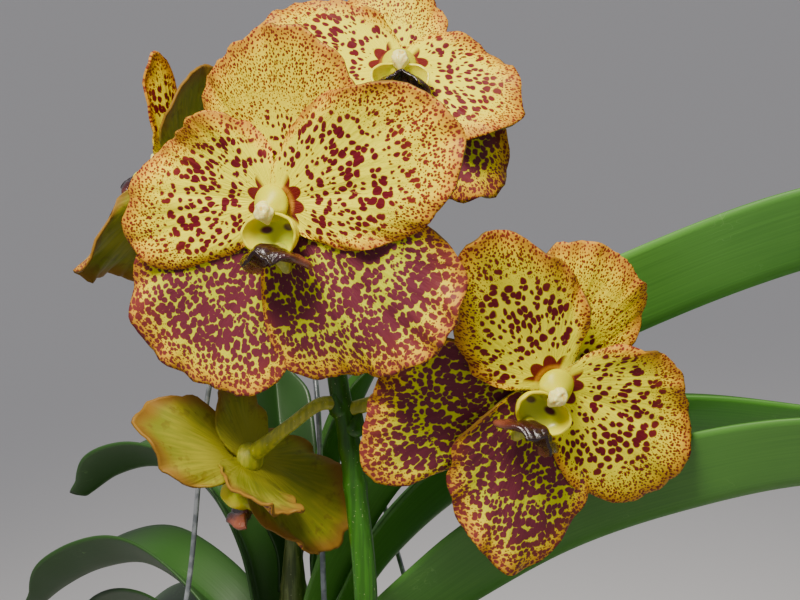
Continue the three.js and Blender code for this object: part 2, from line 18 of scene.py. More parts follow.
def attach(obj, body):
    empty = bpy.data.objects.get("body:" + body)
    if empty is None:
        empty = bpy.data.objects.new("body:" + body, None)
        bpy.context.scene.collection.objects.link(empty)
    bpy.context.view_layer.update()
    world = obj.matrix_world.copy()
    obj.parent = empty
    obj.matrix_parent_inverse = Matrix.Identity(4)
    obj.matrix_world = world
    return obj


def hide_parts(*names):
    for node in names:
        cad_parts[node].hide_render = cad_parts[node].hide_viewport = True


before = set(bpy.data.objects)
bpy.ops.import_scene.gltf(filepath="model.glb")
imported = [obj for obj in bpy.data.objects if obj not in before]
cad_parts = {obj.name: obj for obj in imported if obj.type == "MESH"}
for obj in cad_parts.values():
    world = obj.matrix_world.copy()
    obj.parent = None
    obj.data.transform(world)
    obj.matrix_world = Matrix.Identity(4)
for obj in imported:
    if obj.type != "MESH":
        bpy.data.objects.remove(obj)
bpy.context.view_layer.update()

LOG = logging.getLogger("vanda")
MM = 0.001
Colour = tuple[float, float, float, float]
Fields = dict[str, float]
Piece = bpy.types.Object
Skin = bpy.types.Material
Triple = tuple[float, float, float]
Points = Sequence[Triple]


# Small maths helpers

def hexed(code: int) -> Colour:
    """The linear colour of a 0xRRGGBB screen colour.

    Args:
        code: the screen colour's code.

    Returns:
        Its red, green, blue and alpha.
    """
    parts = [((code >> shift) & 255) / 255 for shift in (16, 8, 0)]
    red, green, blue = [p / 12.92 if p <= 0.04045 else ((p + 0.055) / 1.055) ** 2.4 for p in parts]
    return (red, green, blue, 1.0)


def smooth(low: float, high: float, value: float) -> float:
    """0 up to low, 1 from high on, and a smooth step between."""
    t = min(1.0, max(0.0, (value - low) / (high - low)))
    return t * t * (3 - 2 * t)


def mixed(first: float, second: float, t: float) -> float:
    """The value at t from first to second."""
    return first + (second - first) * t


def sample(values: Sequence[float], t: float) -> float:
    """The height of a smooth curve through evenly spaced values.

    Args:
        values: the heights, from the curve's start to its end.
        t: the place on the curve, 0..1.

    Returns:
        The height there.
    """
    last = len(values) - 1
    f = min(1.0, max(0.0, t)) * last
    i = min(last - 1, int(f))
    u = f - i
    p1, p2 = values[i], values[i + 1]
    p0 = values[i - 1] if i > 0 else 2 * p1 - p2
    p3 = values[i + 2] if i + 2 <= last else 2 * p2 - p1
    return 0.5 * (2 * p1 + (p2 - p0) * u + (2 * p0 - 5 * p1 + 4 * p2 - p3) * u * u
                  + (3 * p1 - p0 - 3 * p2 + p3) * u ** 3)


def bell(value: float, width: float) -> float:
    """1 at zero, fading away over a width."""
    return math.exp(-((value / width) ** 2))


def rough(x: float, y: float, z: float) -> float:
    """Soft noise in about -1..1."""
    return noise.noise(Vector((x, y, z)))


def polar(radius: float, angle: float, z: float) -> Vector:
    """The point at a radius and a compass angle in degrees."""
    return Vector((radius * math.cos(math.radians(angle)), radius * math.sin(math.radians(angle)), z))


class Route:
    """A smooth line through given points, close to how a bent stalk or wire runs."""

    STEPS = 24

    def __init__(self, points: Iterable[Sequence[float]]) -> None:
        """Samples the line finely and measures it.

        Args:
            points: the points that it passes, in millimetres.
        """
        given = [Vector(p) for p in points]
        ends = [2 * given[0] - given[1], *given, 2 * given[-1] - given[-2]]
        self.line = [given[0]]
        for p0, p1, p2, p3 in zip(ends, ends[1:], ends[2:], ends[3:]):
            self.line += [self._between(p0, p1, p2, p3, (k + 1) / self.STEPS) for k in range(self.STEPS)]
        self.lengths = [0.0]
        for a, b in zip(self.line, self.line[1:]):
            self.lengths.append(self.lengths[-1] + (b - a).length)
        self.length = self.lengths[-1]

    @staticmethod
    def _between(p0: Vector, p1: Vector, p2: Vector, p3: Vector, t: float) -> Vector:
        """A point of the centripetal stretch from p1 to p2.

        Args:
            p0: the given point before the stretch.
            p1: the stretch's start.
            p2: the stretch's end.
            p3: the given point after it.
            t: the place on it, 0..1.

        Returns:
            The point there.
        """
        d0, d1, d2 = [math.sqrt((b - a).length) for a, b in ((p0, p1), (p1, p2), (p2, p3))]
        first = ((p1 - p0) / d0 - (p2 - p0) / (d0 + d1) + (p2 - p1) / d1) * d1
        second = ((p2 - p1) / d1 - (p3 - p1) / (d1 + d2) + (p3 - p2) / d2) * d1
        cubic = 2 * p1 - 2 * p2 + first + second
        square = 3 * p2 - 3 * p1 - 2 * first - second
        return ((cubic * t + square) * t + first) * t + p1

    def at(self, t: float) -> Vector:
        """The point at a share of the length.

        Args:
            t: the share, 0..1.

        Returns:
            The point there.
        """
        want = min(1.0, max(0.0, t)) * self.length
        low, high = 0, len(self.lengths) - 1
        while high - low > 1:
            middle = (low + high) // 2
            low, high = (middle, high) if self.lengths[middle] <= want else (low, middle)
        part = (want - self.lengths[low]) / max(1e-9, self.lengths[high] - self.lengths[low])
        return self.line[low].lerp(self.line[high], part)

    def heading(self, t: float) -> Vector:
        """The direction of the line at a share t of its length."""
        return (self.at(min(1.0, t + 0.004)) - self.at(max(0.0, t - 0.004))).normalized()


# Making and finishing meshes

def settle() -> None:
    """Back to object mode with nothing selected."""
    if bpy.context.object and bpy.context.object.mode != "OBJECT":
        bpy.ops.object.mode_set(mode="OBJECT")
    bpy.ops.object.select_all(action="DESELECT")


def hold(piece: Piece) -> Piece:
    """Makes one piece the selected and active one.

    Args:
        piece: the object to hold.

    Returns:
        The same object.
    """
    settle()
    piece.select_set(True)
    bpy.context.view_layer.objects.active = piece
    return piece


def named(name: str) -> Piece:
    """Names the object that was just made, and its data.

    Args:
        name: its new name.

    Returns:
        The object.
    """
    piece = bpy.context.object
    piece.name = piece.data.name = name
    return piece


def edit(piece: Piece) -> None:
    """Opens a piece's mesh with everything selected.

    Args:
        piece: the object to open.
    """
    hold(piece)
    bpy.ops.object.mode_set(mode="EDIT")
    bpy.ops.mesh.select_all(action="SELECT")


def modified(piece: Piece, kind: str, **settings: object) -> Piece:
    """Adds a modifier with its settings and applies it.

    Args:
        piece: the object to shape.
        kind: the modifier's type.
        settings: its values by name.

    Returns:
        The same object.
    """
    hold(piece)
    bpy.ops.object.modifier_add(type=kind)
    modifier = piece.modifiers[-1]
    for name, value in settings.items():
        setattr(modifier, name, value)
    bpy.ops.object.modifier_apply(modifier=modifier.name)
    return piece


def placed(piece: Piece) -> Piece:
    """Puts a piece's place, turn and size into its mesh.

    Args:
        piece: the object that was placed.

    Returns:
        The same object, now at the origin.
    """
    hold(piece)
    bpy.ops.object.transform_apply(location=True, rotation=True, scale=True)
    return piece


def closed(piece: Piece, distance: float) -> Piece:
    """Merges points that lie close together and turns the faces outwards.

    Args:
        piece: the object to close.
        distance: the widest gap that is merged, in millimetres.

    Returns:
        The same object.
    """
    edit(piece)
    bpy.ops.mesh.remove_doubles(threshold=distance * MM)
    bpy.ops.mesh.normals_make_consistent(inside=False)
    settle()
    return piece


def joined(name: str, pieces: Sequence[Piece]) -> Piece:
    """Joins pieces into one object.

    Args:
        name: the one object's name.
        pieces: the objects to join.

    Returns:
        The one object.
    """
    settle()
    for piece in pieces:
        piece.select_set(True)
    bpy.context.view_layer.objects.active = pieces[0]
    bpy.ops.object.join()
    return named(name)


def dressed(piece: Piece, *finishes: Skin, angle: float = 180.0) -> Piece:
    """Gives a piece its materials and smooth shading.

    Args:
        piece: the object to dress.
        finishes: its materials, in order.
        angle: the sharpest edge that is shaded smooth, in degrees.

    Returns:
        The same object.
    """
    for material in finishes:
        piece.data.materials.append(material)
    hold(piece)
    if angle < 180:
        bpy.ops.object.shade_smooth_by_angle(angle=math.radians(angle))
    else:
        bpy.ops.object.shade_smooth()
    settle()
    return piece


def mount(piece: Piece, slot: str, *nodes: str) -> None:
    """Lets a finished piece ride on the plant and stand for its nodes.

    Args:
        piece: the finished object.
        slot: the slot's name, not used.
        nodes: the frame's nodes that it stands for.
    """
    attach(piece, "root")
    if nodes:
        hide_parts(*nodes)
    LOG.info("%s: %d faces", piece.name, len(piece.data.polygons))


@dataclass
class Spot:
    """One point of a shaped surface.

    It holds its place, surface coordinates and painted values, its place in the bloom's own frame, and
    its share of the blade's thickness.
    """

    at: Vector
    uv: tuple[float, float] = (0.0, 0.0)
    fields: Fields = field(default_factory=dict)
    local: Optional[Vector] = None
    thick: float = 1.0


def set_spots(piece: Piece, spots: Sequence[Spot]) -> None:
    """Moves a mesh's points to their spots and writes their surface values.

    Args:
        piece: the object whose points move.
        spots: one spot for each point, in order.
    """
    mesh = piece.data
    for vertex, spot in zip(mesh.vertices, spots):
        vertex.co = spot.at * MM
    for name in spots[0].fields:
        layer = mesh.attributes.new(name, "FLOAT", "POINT")
        layer.data.foreach_set("value", [spot.fields[name] for spot in spots])
    if spots[0].local is not None:
        layer = mesh.attributes.new("local", "FLOAT_VECTOR", "POINT")
        layer.data.foreach_set("vector", [c for spot in spots for c in spot.local])
    uv = mesh.uv_layers.new(name="surface")
    for loop in mesh.loops:
        uv.data[loop.index].uv = spots[loop.vertex_index].uv


def sheet(name: str, cols: int, rows: int, place: Callable[[float, float], Spot], thickness: float,
          finishes: Sequence[Skin], even: bool = True) -> Piece:
    """A blade: a flat grid shaped by a rule, then given its thickness.

    Args:
        name: the object's name.
        cols: faces across.
        rows: faces along.
        place: gives the spot for s in -1..1 across and t in 0..1 along.
        thickness: in millimetres.
        finishes: the materials of its face and its back.
        even: False where the thickness fades with the spots' thick value.

    Returns:
        The closed blade.
    """
    settle()
    bpy.ops.mesh.primitive_grid_add(x_subdivisions=cols, y_subdivisions=rows, size=2.0)
    piece = named(name)
    spots = [place(-v.co.x, (v.co.y + 1) / 2) for v in piece.data.vertices]
    set_spots(piece, spots)
    for finish in finishes:
        piece.data.materials.append(finish)
    last = len(finishes) - 1
    settings = dict(thickness=thickness * MM, offset=0.0, material_offset=last, material_offset_rim=last)
    if not even:
        group = piece.vertex_groups.new(name="thick")
        for index, spot in enumerate(spots):
            group.add([index], spot.thick, "REPLACE")
        settings["vertex_group"] = "thick"
    return modified(piece, "SOLIDIFY", **settings)


DOME_RINGS = (0.0, 0.06, 0.22, 0.45, 0.72, 1.0)


def tube(name: str, route: Route, radii: Sequence[float], sides: int = 12, step: float = 2.5,
         shape: Optional[Callable[[float], float]] = None, round_ends: bool = True) -> Piece:
    """A round stalk, root or wire along a route.

    Args:
        name: the object's name.
        route: its centre line.
        radii: its radius at evenly spaced places, in millimetres.
        sides: corners of its section.
        step: distance between its rings.
        shape: a factor on the radius at a share t of the length.
        round_ends: whether its ends are domes.

    Returns:
        The closed tube.
    """
    count = max(6, int(route.length / step))
    stations = {i / count for i in range(count + 1)}
    domes = []
    if round_ends:
        for end, radius in ((0.0, radii[0]), (1.0, radii[-1])):
            stations |= {abs(end - part * radius / route.length) for part in DOME_RINGS}
        domes = [radii[0] / route.length, radii[-1] / route.length]
    settle()
    bpy.ops.curve.primitive_bezier_curve_add(location=(0, 0, 0))
    piece = named(name)
    curve = piece.data
    curve.splines.clear()
    spline = curve.splines.new("POLY")
    ordered = sorted(stations)
    spline.points.add(len(ordered) - 1)
    for point, t in zip(spline.points, ordered):
        radius = sample(radii, t) * (shape(t) if shape else 1.0)
        for near, dome in zip((t, 1 - t), domes):
            if near < dome:
                radius *= math.sqrt(max(0.0004, 1 - (1 - near / dome) ** 2))
        point.co = (*(route.at(t) * MM), 1.0)
        point.radius = radius
    curve.dimensions = "3D"
    curve.bevel_depth = MM
    curve.bevel_resolution = max(1, sides // 2 - 2)
    curve.use_fill_caps = True
    hold(piece)
    bpy.ops.object.convert(target="MESH")
    piece.data.name = name
    return closed(piece, 0.002)


def turned(name: str, profile: Sequence[tuple[float, float]], sides: int, x: float = 0.0,
           y: float = 0.0) -> Piece:
    """A solid turned about an upright axis, its disc extruded from corner to corner of a profile.

    Args:
        name: the object's name.
        profile: radius and height of each corner in turn, first and last on flat discs.
        sides: corners of its round section.
        x: the axis's place.
        y: the axis's place.

    Returns:
        The closed solid.
    """
    settle()
    radius, height = profile[0]
    bpy.ops.mesh.primitive_circle_add(vertices=sides, radius=radius * MM, fill_type="NGON",
                                      location=(x * MM, y * MM, height * MM))
    piece = placed(named(name))
    edit(piece)
    for next_radius, next_height in profile[1:]:
        rise = {"value": (0, 0, (next_height - height) * MM)}
        bpy.ops.mesh.extrude_region_move(TRANSFORM_OT_translate=rise)
        factor = next_radius / radius
        middle = (x * MM, y * MM, next_height * MM)
        bpy.ops.transform.resize(value=(factor, factor, 1), center_override=middle)
        radius, height = next_radius, next_height
    bpy.ops.mesh.select_all(action="SELECT")
    bpy.ops.mesh.normals_make_consistent(inside=False)
    settle()
    return piece


def orb(name: str, segments: int, rings: int, place: Callable[[Vector], Spot]) -> Piece:
    """A closed ball shaped by a rule.

    Args:
        name: the object's name.
        segments: faces round it.
        rings: faces from pole to pole.
        place: gives the spot for a point of the unit sphere.

    Returns:
        The shaped ball.
    """
    settle()
    bpy.ops.mesh.primitive_uv_sphere_add(segments=segments, ring_count=rings, radius=1.0)
    piece = named(name)
    set_spots(piece, [place(v.co.copy()) for v in piece.data.vertices])
    return piece


# Finishes

Value = Union["Signal", float]
Paint = Union["Signal", Colour]


class Signal:
    """A value that a material works out at each point, for use in plain arithmetic."""

    def __init__(self, graph: "Graph", socket: bpy.types.NodeSocket) -> None:
        """Keeps the socket that gives the value."""
        self.graph = graph
        self.socket = socket

    def __add__(self, other: Value) -> "Signal":
        """The sum."""
        return self.graph.math("ADD", self, other)

    def __sub__(self, other: Value) -> "Signal":
        """What is left of this value."""
        return self.graph.math("SUBTRACT", self, other)

    def __rsub__(self, other: float) -> "Signal":
        """What this value leaves of a number."""
        return self.graph.math("SUBTRACT", other, self)

    def __mul__(self, other: Value) -> "Signal":
        """The product."""
        return self.graph.math("MULTIPLY", self, other)

    def __pow__(self, other: float) -> "Signal":
        """The power."""
        return self.graph.math("POWER", self, other)

    def __abs__(self) -> "Signal":
        """The value without its sign."""
        return self.graph.math("ABSOLUTE", self)

    def other(self, output: str | int) -> "Signal":
        """Another value from the same node."""
        return Signal(self.graph, self.socket.node.outputs[output])

    def scaled(self, factor: Value, start: Value) -> "Signal":
        """The product with a factor, added to a start."""
        return self.graph.math("MULTIPLY_ADD", self, factor, start)

    def sharp(self, factor: float) -> "Signal":
        """A narrow ramp from 0 to 1 where the value crosses zero."""
        return self.graph.math("MULTIPLY_ADD", self, factor, 0.5, clamp=True)


class Graph:
    """A material's nodes, wired one value at a time."""

    def __init__(self, name: str, roughness: float = 0.5, **sockets: float) -> None:
        """Starts the material.

        Args:
            name: the material's name.
            roughness: of its surface.
            sockets: other values on the shader's own sockets, with spaces written as underscores.
        """
        self.material = bpy.data.materials.new(name)
        self.material.use_nodes = True
        self.nodes = self.material.node_tree.nodes
        self.shader = self.nodes["Principled BSDF"]
        for socket, value in {"Roughness": roughness, **sockets}.items():
            self.shader.inputs[socket.replace("_", " ")].default_value = value

    def wire(self, value: Union[Value, Paint], socket: bpy.types.NodeSocket) -> None:
        """Links a worked-out value, or sets a plain one.

        Args:
            value: what the socket gets.
            socket: the input to fill.
        """
        if isinstance(value, Signal):
            self.material.node_tree.links.new(value.socket, socket)
        else:
            socket.default_value = value

    def node(self, kind: str, inputs: dict[str | int, object], output: str | int = 0,
             **settings: object) -> Signal:
        """Adds a node.

        Args:
            kind: the node's type.
            inputs: what goes into it, by name or number.
            output: which of its values is wanted.
            settings: its other settings by name.

        Returns:
            The value that it gives.
        """
        made = self.nodes.new("ShaderNode" + kind)
        for name, value in settings.items():
            setattr(made, name, value)
        for key, value in inputs.items():
            self.wire(value, made.inputs[key])
        return Signal(self, made.outputs[output])

    def math(self, kind: str, *values: Value, clamp: bool = False) -> Signal:
        """One step of arithmetic, kept within 0..1 if it is clamped."""
        return self.node("Math", dict(enumerate(values)), operation=kind, use_clamp=clamp)

    def step(self, value: Value, low: float, high: float) -> Signal:
        """A smooth step from 0 at low to 1 at high."""
        return self.node("MapRange", {0: value, 1: low, 2: high}, interpolation_type="SMOOTHSTEP")

    def blend(self, amount: Value, first: Paint, second: Paint) -> Signal:
        """A colour between two."""
        return self.node("Mix", {0: amount, 6: first, 7: second}, 2, data_type="RGBA")

    def vector(self, x: Value, y: Value, z: Value = 0.0) -> Signal:
        """Three numbers as a vector."""
        return self.node("CombineXYZ", {0: x, 1: y, 2: z})

    def split(self, vector: Signal) -> list[Signal]:
        """A vector's three numbers."""
        first = self.node("SeparateXYZ", {0: vector})
        return [first.other(axis) for axis in range(3)]

    def surface(self) -> list[Signal]:
        """The piece's own two surface coordinates, and a zero."""
        return self.split(self.node("UVMap", {}, uv_map="surface"))

    def field(self, name: str) -> Signal:
        """A painted value."""
        return self.node("Attribute", {}, "Fac", attribute_name=name)

    def local(self) -> Signal:
        """The place in the bloom's own frame, in millimetres."""
        return self.node("Attribute", {}, "Vector", attribute_name="local")

    def place(self) -> Signal:
        """The place in the plant's frame, in metres."""
        return self.node("TexCoord", {}, "Object")

    def noise(self, vector: Signal, scale: float, detail: float = 2.0) -> Signal:
        """Soft noise in 0..1."""
        return self.node("TexNoise", {"Vector": vector, "Scale": scale, "Detail": detail})

    def patches(self, scale: float, detail: float, low: float, high: float) -> Signal:
        """Patches of 1 on 0 where noise over the plant is high."""
        return self.step(self.noise(self.place(), scale, detail), low, high)

    def shifted(self, vector: Signal, amount: float, scale: float) -> Signal:
        """A vector moved about by noise, so that a pattern on it is irregular."""
        wobble = self.noise(vector, scale, 0.0).other(1)
        return self.node("VectorMath", {0: wobble, 1: (amount,) * 3, 2: vector}, operation="MULTIPLY_ADD")

    def cells(self, vector: Signal) -> tuple[Signal, Signal]:
        """A pattern of scattered cells.

        Args:
            vector: where the pattern is read.

        Returns:
            The distance to the nearest cell's middle, and that cell's own random number.
        """
        inputs = {"Vector": vector, "Scale": 1.0, "Randomness": 1.0}
        distance = self.node("TexVoronoi", inputs, "Distance", voronoi_dimensions="2D")
        return distance, self.split(distance.other("Color"))[0]

    def bumped(self, height: Signal, depth: float, strength: float) -> None:
        """Raises the surface by a height, depth being its full height in millimetres."""
        self.wire(self.node("Bump", {"Distance": depth * MM, "Strength": strength, "Height": height}),
                  self.shader.inputs["Normal"])

    def done(self, colour: Paint) -> Skin:
        """Sets the colour and hands the material over."""
        self.wire(colour, self.shader.inputs["Base Color"])
        return self.material


@dataclass(frozen=True)
class TepalFace:
    """The spotted face of a sepal or petal.

    Its surface coordinates are the angle in radians and the radius in tenths of a metre. Each ring of
    spots has the radius where a spot is as wide as long, and the radii where it starts and stops, all in
    millimetres.
    """

    name: str
    cell: float = 1.95
    fine_cell: float = 0.78
    stretch: float = 0.68
    vary: float = 0.6
    rings: Sequence[Triple] = ((13, 0, 19), (27, 19, 39), (46, 39, 90))
    fine_rings: Sequence[Triple] = ((22, 6, 30), (40, 30, 90))
    yellow: Colour = hexed(0xFFF400)
    lime: Colour = hexed(0xB9C400)
    amber: Colour = hexed(0xF9B70E)
    copper: Colour = hexed(0xC88828)
    maroon: Colour = hexed(0x661420)
    brick: Colour = hexed(0x964020)
    blotch: Colour = hexed(0x701C18)

    def spots(self, g: Graph, around: float, cell: float, reach: Signal, vary: float) -> Signal:
        """One ring of spots, in rows that run out from the column.

        Args:
            g: the material's nodes.
            around: the radius in millimetres where the spots are as wide as long.
            cell: distance between spots in millimetres.
            reach: how far each spot fills its cell.
            vary: how much the spots differ in size.

        Returns:
            0 between the spots and 1 on them.
        """
        angle, radius, _ = g.surface()
        x = angle * (around / cell) + g.field("seed") * 31.7
        y = radius * (self.stretch * 100 / cell)
        distance, own = g.cells(g.shifted(g.vector(x, y), 0.55, 0.9))
        size = reach * own.scaled(vary, 1 - vary * 0.55)
        return (size - distance).sharp(8.0)

    def window(self, g: Graph, radius: Signal, start: float, stop: float) -> Signal:
        """1 between two radii in millimetres, fading over their ends."""
        rise = g.step(radius, start / 100 - 0.03, start / 100 + 0.03)
        return rise * g.step(radius, stop / 100 + 0.04, stop / 100 - 0.04)

    def scallops(self, g: Graph, angle: Signal, radius: Signal) -> Signal:
        """1 on the scalloped blotch round the foot of the column."""
        limit = abs(g.math("SINE", angle * 5.2)).scaled(0.026, 0.068)
        return (limit - radius).sharp(220.0) * (1.0 - g.step(abs(angle), 0.75, 1.0))

    def make(self) -> Skin:
        """Builds the material.

        Returns:
            The finished material.
        """
        g = Graph(self.name, 0.5, Specular_IOR_Level=0.14)
        angle, radius, _ = g.surface()
        painted = ("seed", "dense", "fine", "lime", "inset")
        seed, dense, fine, lime, inset = (g.field(name) for name in painted)
        dense = dense * g.noise(g.vector(angle * 4.0, radius * 9.0, seed), 1.0, 1.0).scaled(1.3, 0.35)
        marks = 0.0
        for cell, amount, vary, rings in ((self.cell, dense, self.vary, self.rings),
                                          (self.fine_cell, fine, 0.7, self.fine_rings)):
            for around, start, stop in rings:
                reach = amount * self.window(g, radius, start, stop)
                marks = g.math("MAXIMUM", marks, self.spots(g, around, cell, reach, vary))
        edge = inset + g.noise(g.place(), 160.0) * 2.2
        ground = g.blend(lime, self.yellow, self.lime)
        ground = g.blend(fine * 0.9, ground, self.amber)
        ground = g.blend(g.step(edge, 11.0, 2.5) * 0.7, ground, self.amber)
        ground = g.blend(g.step(edge, 6.5, 1.6) * 0.85, ground, self.copper)
        spot = g.blend(g.math("MULTIPLY", fine, 1.2, clamp=True), self.maroon, self.brick)
        colour = g.blend(marks, ground, g.blend(marks, self.brick, spot))
        blotch = g.blend(g.step(radius, 0.052, 0.066), self.copper, self.blotch)
        colour = g.blend(self.scallops(g, angle, radius), colour, blotch)
        veins = g.noise(g.vector(angle * 26.0, radius * 14.0), 1.0, 3.0)
        folds = g.noise(g.vector(angle * 4.5, radius * 1.6, seed), 1.0, 1.0) * g.step(radius, 0.12, 0.45)
        g.bumped(veins.scaled(0.16, folds), 3.2, 0.8)
        return g.done(colour)


@dataclass(frozen=True)
class TepalBack:
    """The plain back of a sepal or petal, green at the ribs and coppery at its margin."""

    olive: Colour = hexed(0x989224)
    green: Colour = hexed(0x767A1C)
    copper: Colour = hexed(0x8A6020)
    shadow: Colour = hexed(0x5E3C18)

    def make(self) -> Skin:
        """Builds the material.

        Returns:
            The finished material.
        """
        g = Graph("tepal_back", 0.55, Specular_IOR_Level=0.2)
        angle, radius, _ = g.surface()
        veins = g.noise(g.vector(angle * 20.0, radius * 9.0), 1.0, 3.0)
        clouds = g.noise(g.place(), 55.0)
        colour = g.blend(g.step(veins.scaled(0.4, clouds * 0.6), 0.36, 0.62), self.green, self.olive)
        edge = g.field("inset") + clouds * 4.0
        ghost = g.patches(420.0, 2.0, 0.54, 0.66) * 0.4
        colour = g.blend(ghost * g.step(edge, 18.0, 7.0), colour, self.shadow)
        colour = g.blend(g.step(edge, 9.0, 2.5) * 0.9, colour, self.copper)
        g.bumped(veins.scaled(0.3, clouds), 1.2, 0.6)
        return g.done(colour)


@dataclass(frozen=True)
class CupFinish:
    """The lip's cup: lime inside, yellow outside, with two dark spots under the column."""

    lime: Colour = hexed(0xB8C010)
    yellow: Colour = hexed(0xF2E41C)
    dark: Colour = hexed(0x4A1226)
    spot: tuple[float, float] = (3.6, -7.0)

    def make(self) -> Skin:
        """Builds the material.

        Returns:
            The finished material.
        """
        g = Graph("lip_cup", 0.32, Subsurface_Weight=0.15, Subsurface_Scale=0.003)
        x, y, z = g.split(g.local())
        colour = g.blend(g.step(z, 5.4, 9.6), self.lime, self.yellow)
        side, up = abs(x) - self.spot[0], y - self.spot[1]
        away = g.math("SQRT", (side * 0.62) ** 2.0 + up ** 2.0)
        return g.done(g.blend(g.step(away, 1.5, 0.7) * g.step(z, 9.0, 7.6), colour, self.dark))


@dataclass(frozen=True)
class TongueFinish:
    """The lip's tongue: glossy, near black on its keels and tip, red-brown at its sides."""

    maroon: Colour = hexed(0x3A0D12)
    brown: Colour = hexed(0x8A4A32)
    black: Colour = hexed(0x1E0708)

    def make(self) -> Skin:
        """Builds the material.

        Returns:
            The finished material.
        """
        g = Graph("lip_tongue", 0.24, Coat_Weight=0.35, Coat_Roughness=0.12)
        x, _, z = g.split(g.local())
        side = g.step(abs(x) + g.noise(g.local(), 0.45) * 4.0, 7.0, 11.0) * g.step(z, 17.0, 9.0)
        colour = g.blend(g.step(z, 15.0, 19.0), g.blend(side, self.maroon, self.brown), self.black)
        g.bumped(g.noise(g.local(), 1.4, 3.0), 0.5, 0.7)
        return g.done(colour)


@dataclass(frozen=True)
class ColumnFinish:
    """The column: waxy yellow, paler towards its end, reddish at its foot."""

    yellow: Colour = hexed(0xD2CC00)
    cream: Colour = hexed(0xE6DC10)
    red: Colour = hexed(0x9A4A30)

    def make(self) -> Skin:
        """Builds the material.

        Returns:
            The finished material.
        """
        g = Graph("column_wax", 0.4, Subsurface_Weight=0.1, Subsurface_Scale=0.002, Specular_IOR_Level=0.3)
        z = g.split(g.local())[2]
        colour = g.blend(g.step(z, 7.0, 11.0) * 0.5, self.yellow, self.cream)
        return g.done(g.blend(g.step(z, 3.9, 3.2), colour, self.red))


@dataclass(frozen=True)
class CapFinish:
    """The anther cap: creamy white wax, a little translucent."""

    cream: Colour = hexed(0xFFF090)
    buff: Colour = hexed(0xE8C84A)

    def make(self) -> Skin:
        """Builds the material.

        Returns:
            The finished material.
        """
        g = Graph("anther_cap", 0.35, Subsurface_Weight=0.3, Subsurface_Scale=0.003)
        g.bumped(g.noise(g.local(), 1.1), 0.3, 0.5)
        return g.done(g.blend(g.step(g.noise(g.local(), 0.7), 0.5, 0.7), self.cream, self.buff))


@dataclass(frozen=True)
class LeafFinish:
    """A strap leaf's skin. Its surface coordinates are across and along, in tenths of a metre."""

    name: str = "leaf_upper"
    fresh: Colour = hexed(0x7ED23C)
    deep: Colour = hexed(0x72C436)
    # painted shade: the dark green that leaves lying in shade are blended towards
    shade_green: Colour = hexed(0x26481A)
    scar: Colour = hexed(0x7FB060)
    roughness: float = 0.4

    def make(self) -> Skin:
        """Builds the material.

        Returns:
            The finished material.
        """
        g = Graph(self.name, self.roughness, Specular_IOR_Level=0.45)
        across, along, _ = g.surface()
        fibres = g.noise(g.vector(across * 160.0, along * 2.5), 1.0, 4.0)
        tone = fibres * 0.55 + g.noise(g.place(), 14.0, 3.0) * 0.6
        colour = g.blend(g.step(tone, 0.35, 0.8), self.deep, self.fresh)
        colour = g.blend(g.step(along, 0.5, 0.05) * 0.35, colour, self.fresh)
        # painted shade: each leaf's painted value from 0 to 1 blends it towards the dark green, most on the
        # lower and left-hand leaves, which lie in shade
        colour = g.blend(g.field("age"), colour, self.shade_green)
        scratch = g.noise(g.vector(across * 34.0, along * 21.0), 1.0, 1.0)
        line = g.step(abs(scratch - 0.5), 0.014, 0.004)
        colour = g.blend(line * g.patches(55.0, 2.0, 0.6, 0.68) * 0.3, colour, self.scar)
        g.bumped(fibres, 0.12, 0.3)
        return g.done(colour)


@dataclass(frozen=True)
class StalkFinish:
    """A smooth green or yellow-green stalk with fine ribs and pale flecks."""

    name: str
    light: Colour
    dark: Colour
    fleck: Colour = hexed(0xDDE2A8)

    def make(self) -> Skin:
        """Builds the material.

        Returns:
            The finished material.
        """
        g = Graph(self.name, 0.4, Subsurface_Weight=0.08, Subsurface_Scale=0.003)
        x, y, z = g.split(g.place())
        ribs = g.noise(g.vector(x * 900.0, y * 900.0, z * 40.0), 1.0)
        colour = g.blend(g.step(ribs, 0.35, 0.7), self.dark, self.light)
        g.bumped(ribs, 0.3, 0.5)
        return g.done(g.blend(g.patches(1400.0, 1.0, 0.72, 0.76) * 0.4, colour, self.fleck))


@dataclass(frozen=True)
class RootFinish:
    """A root's skin: silver grey over green, with brown patches and fine cracks."""

    silver: Colour = hexed(0xB3B49E)
    green: Colour = hexed(0x75834F)
    brown: Colour = hexed(0x6F5B3C)

    def make(self) -> Skin:
        """Builds the material.

        Returns:
            The finished material.
        """
        g = Graph("root_skin", 0.75)
        colour = g.blend(g.patches(60.0, 4.0, 0.42, 0.6), self.green, self.silver)
        g.bumped(g.noise(g.place(), 900.0, 4.0), 0.4, 0.6)
        return g.done(g.blend(g.patches(35.0, 3.0, 0.58, 0.7), colour, self.brown))


@dataclass(frozen=True)
class BarkFinish:
    """Bark chips: dark red-brown with lighter, flaky sides."""

    dark: Colour = hexed(0x35221A)
    mid: Colour = hexed(0x6B4428)
    pale: Colour = hexed(0x9A6C42)

    def make(self) -> Skin:
        """Builds the material.

        Returns:
            The finished material.
        """
        g = Graph("bark_chip", 0.92)
        x, y, z = g.split(g.place())
        layers = g.noise(g.vector(x * 120.0, y * 120.0, z * 520.0), 1.0, 5.0)
        colour = g.blend(g.step(layers, 0.35, 0.62), self.dark, self.mid)
        g.bumped(layers, 1.2, 0.8)
        return g.done(g.blend(g.patches(70.0, 2.0, 0.55, 0.7), colour, self.pale))


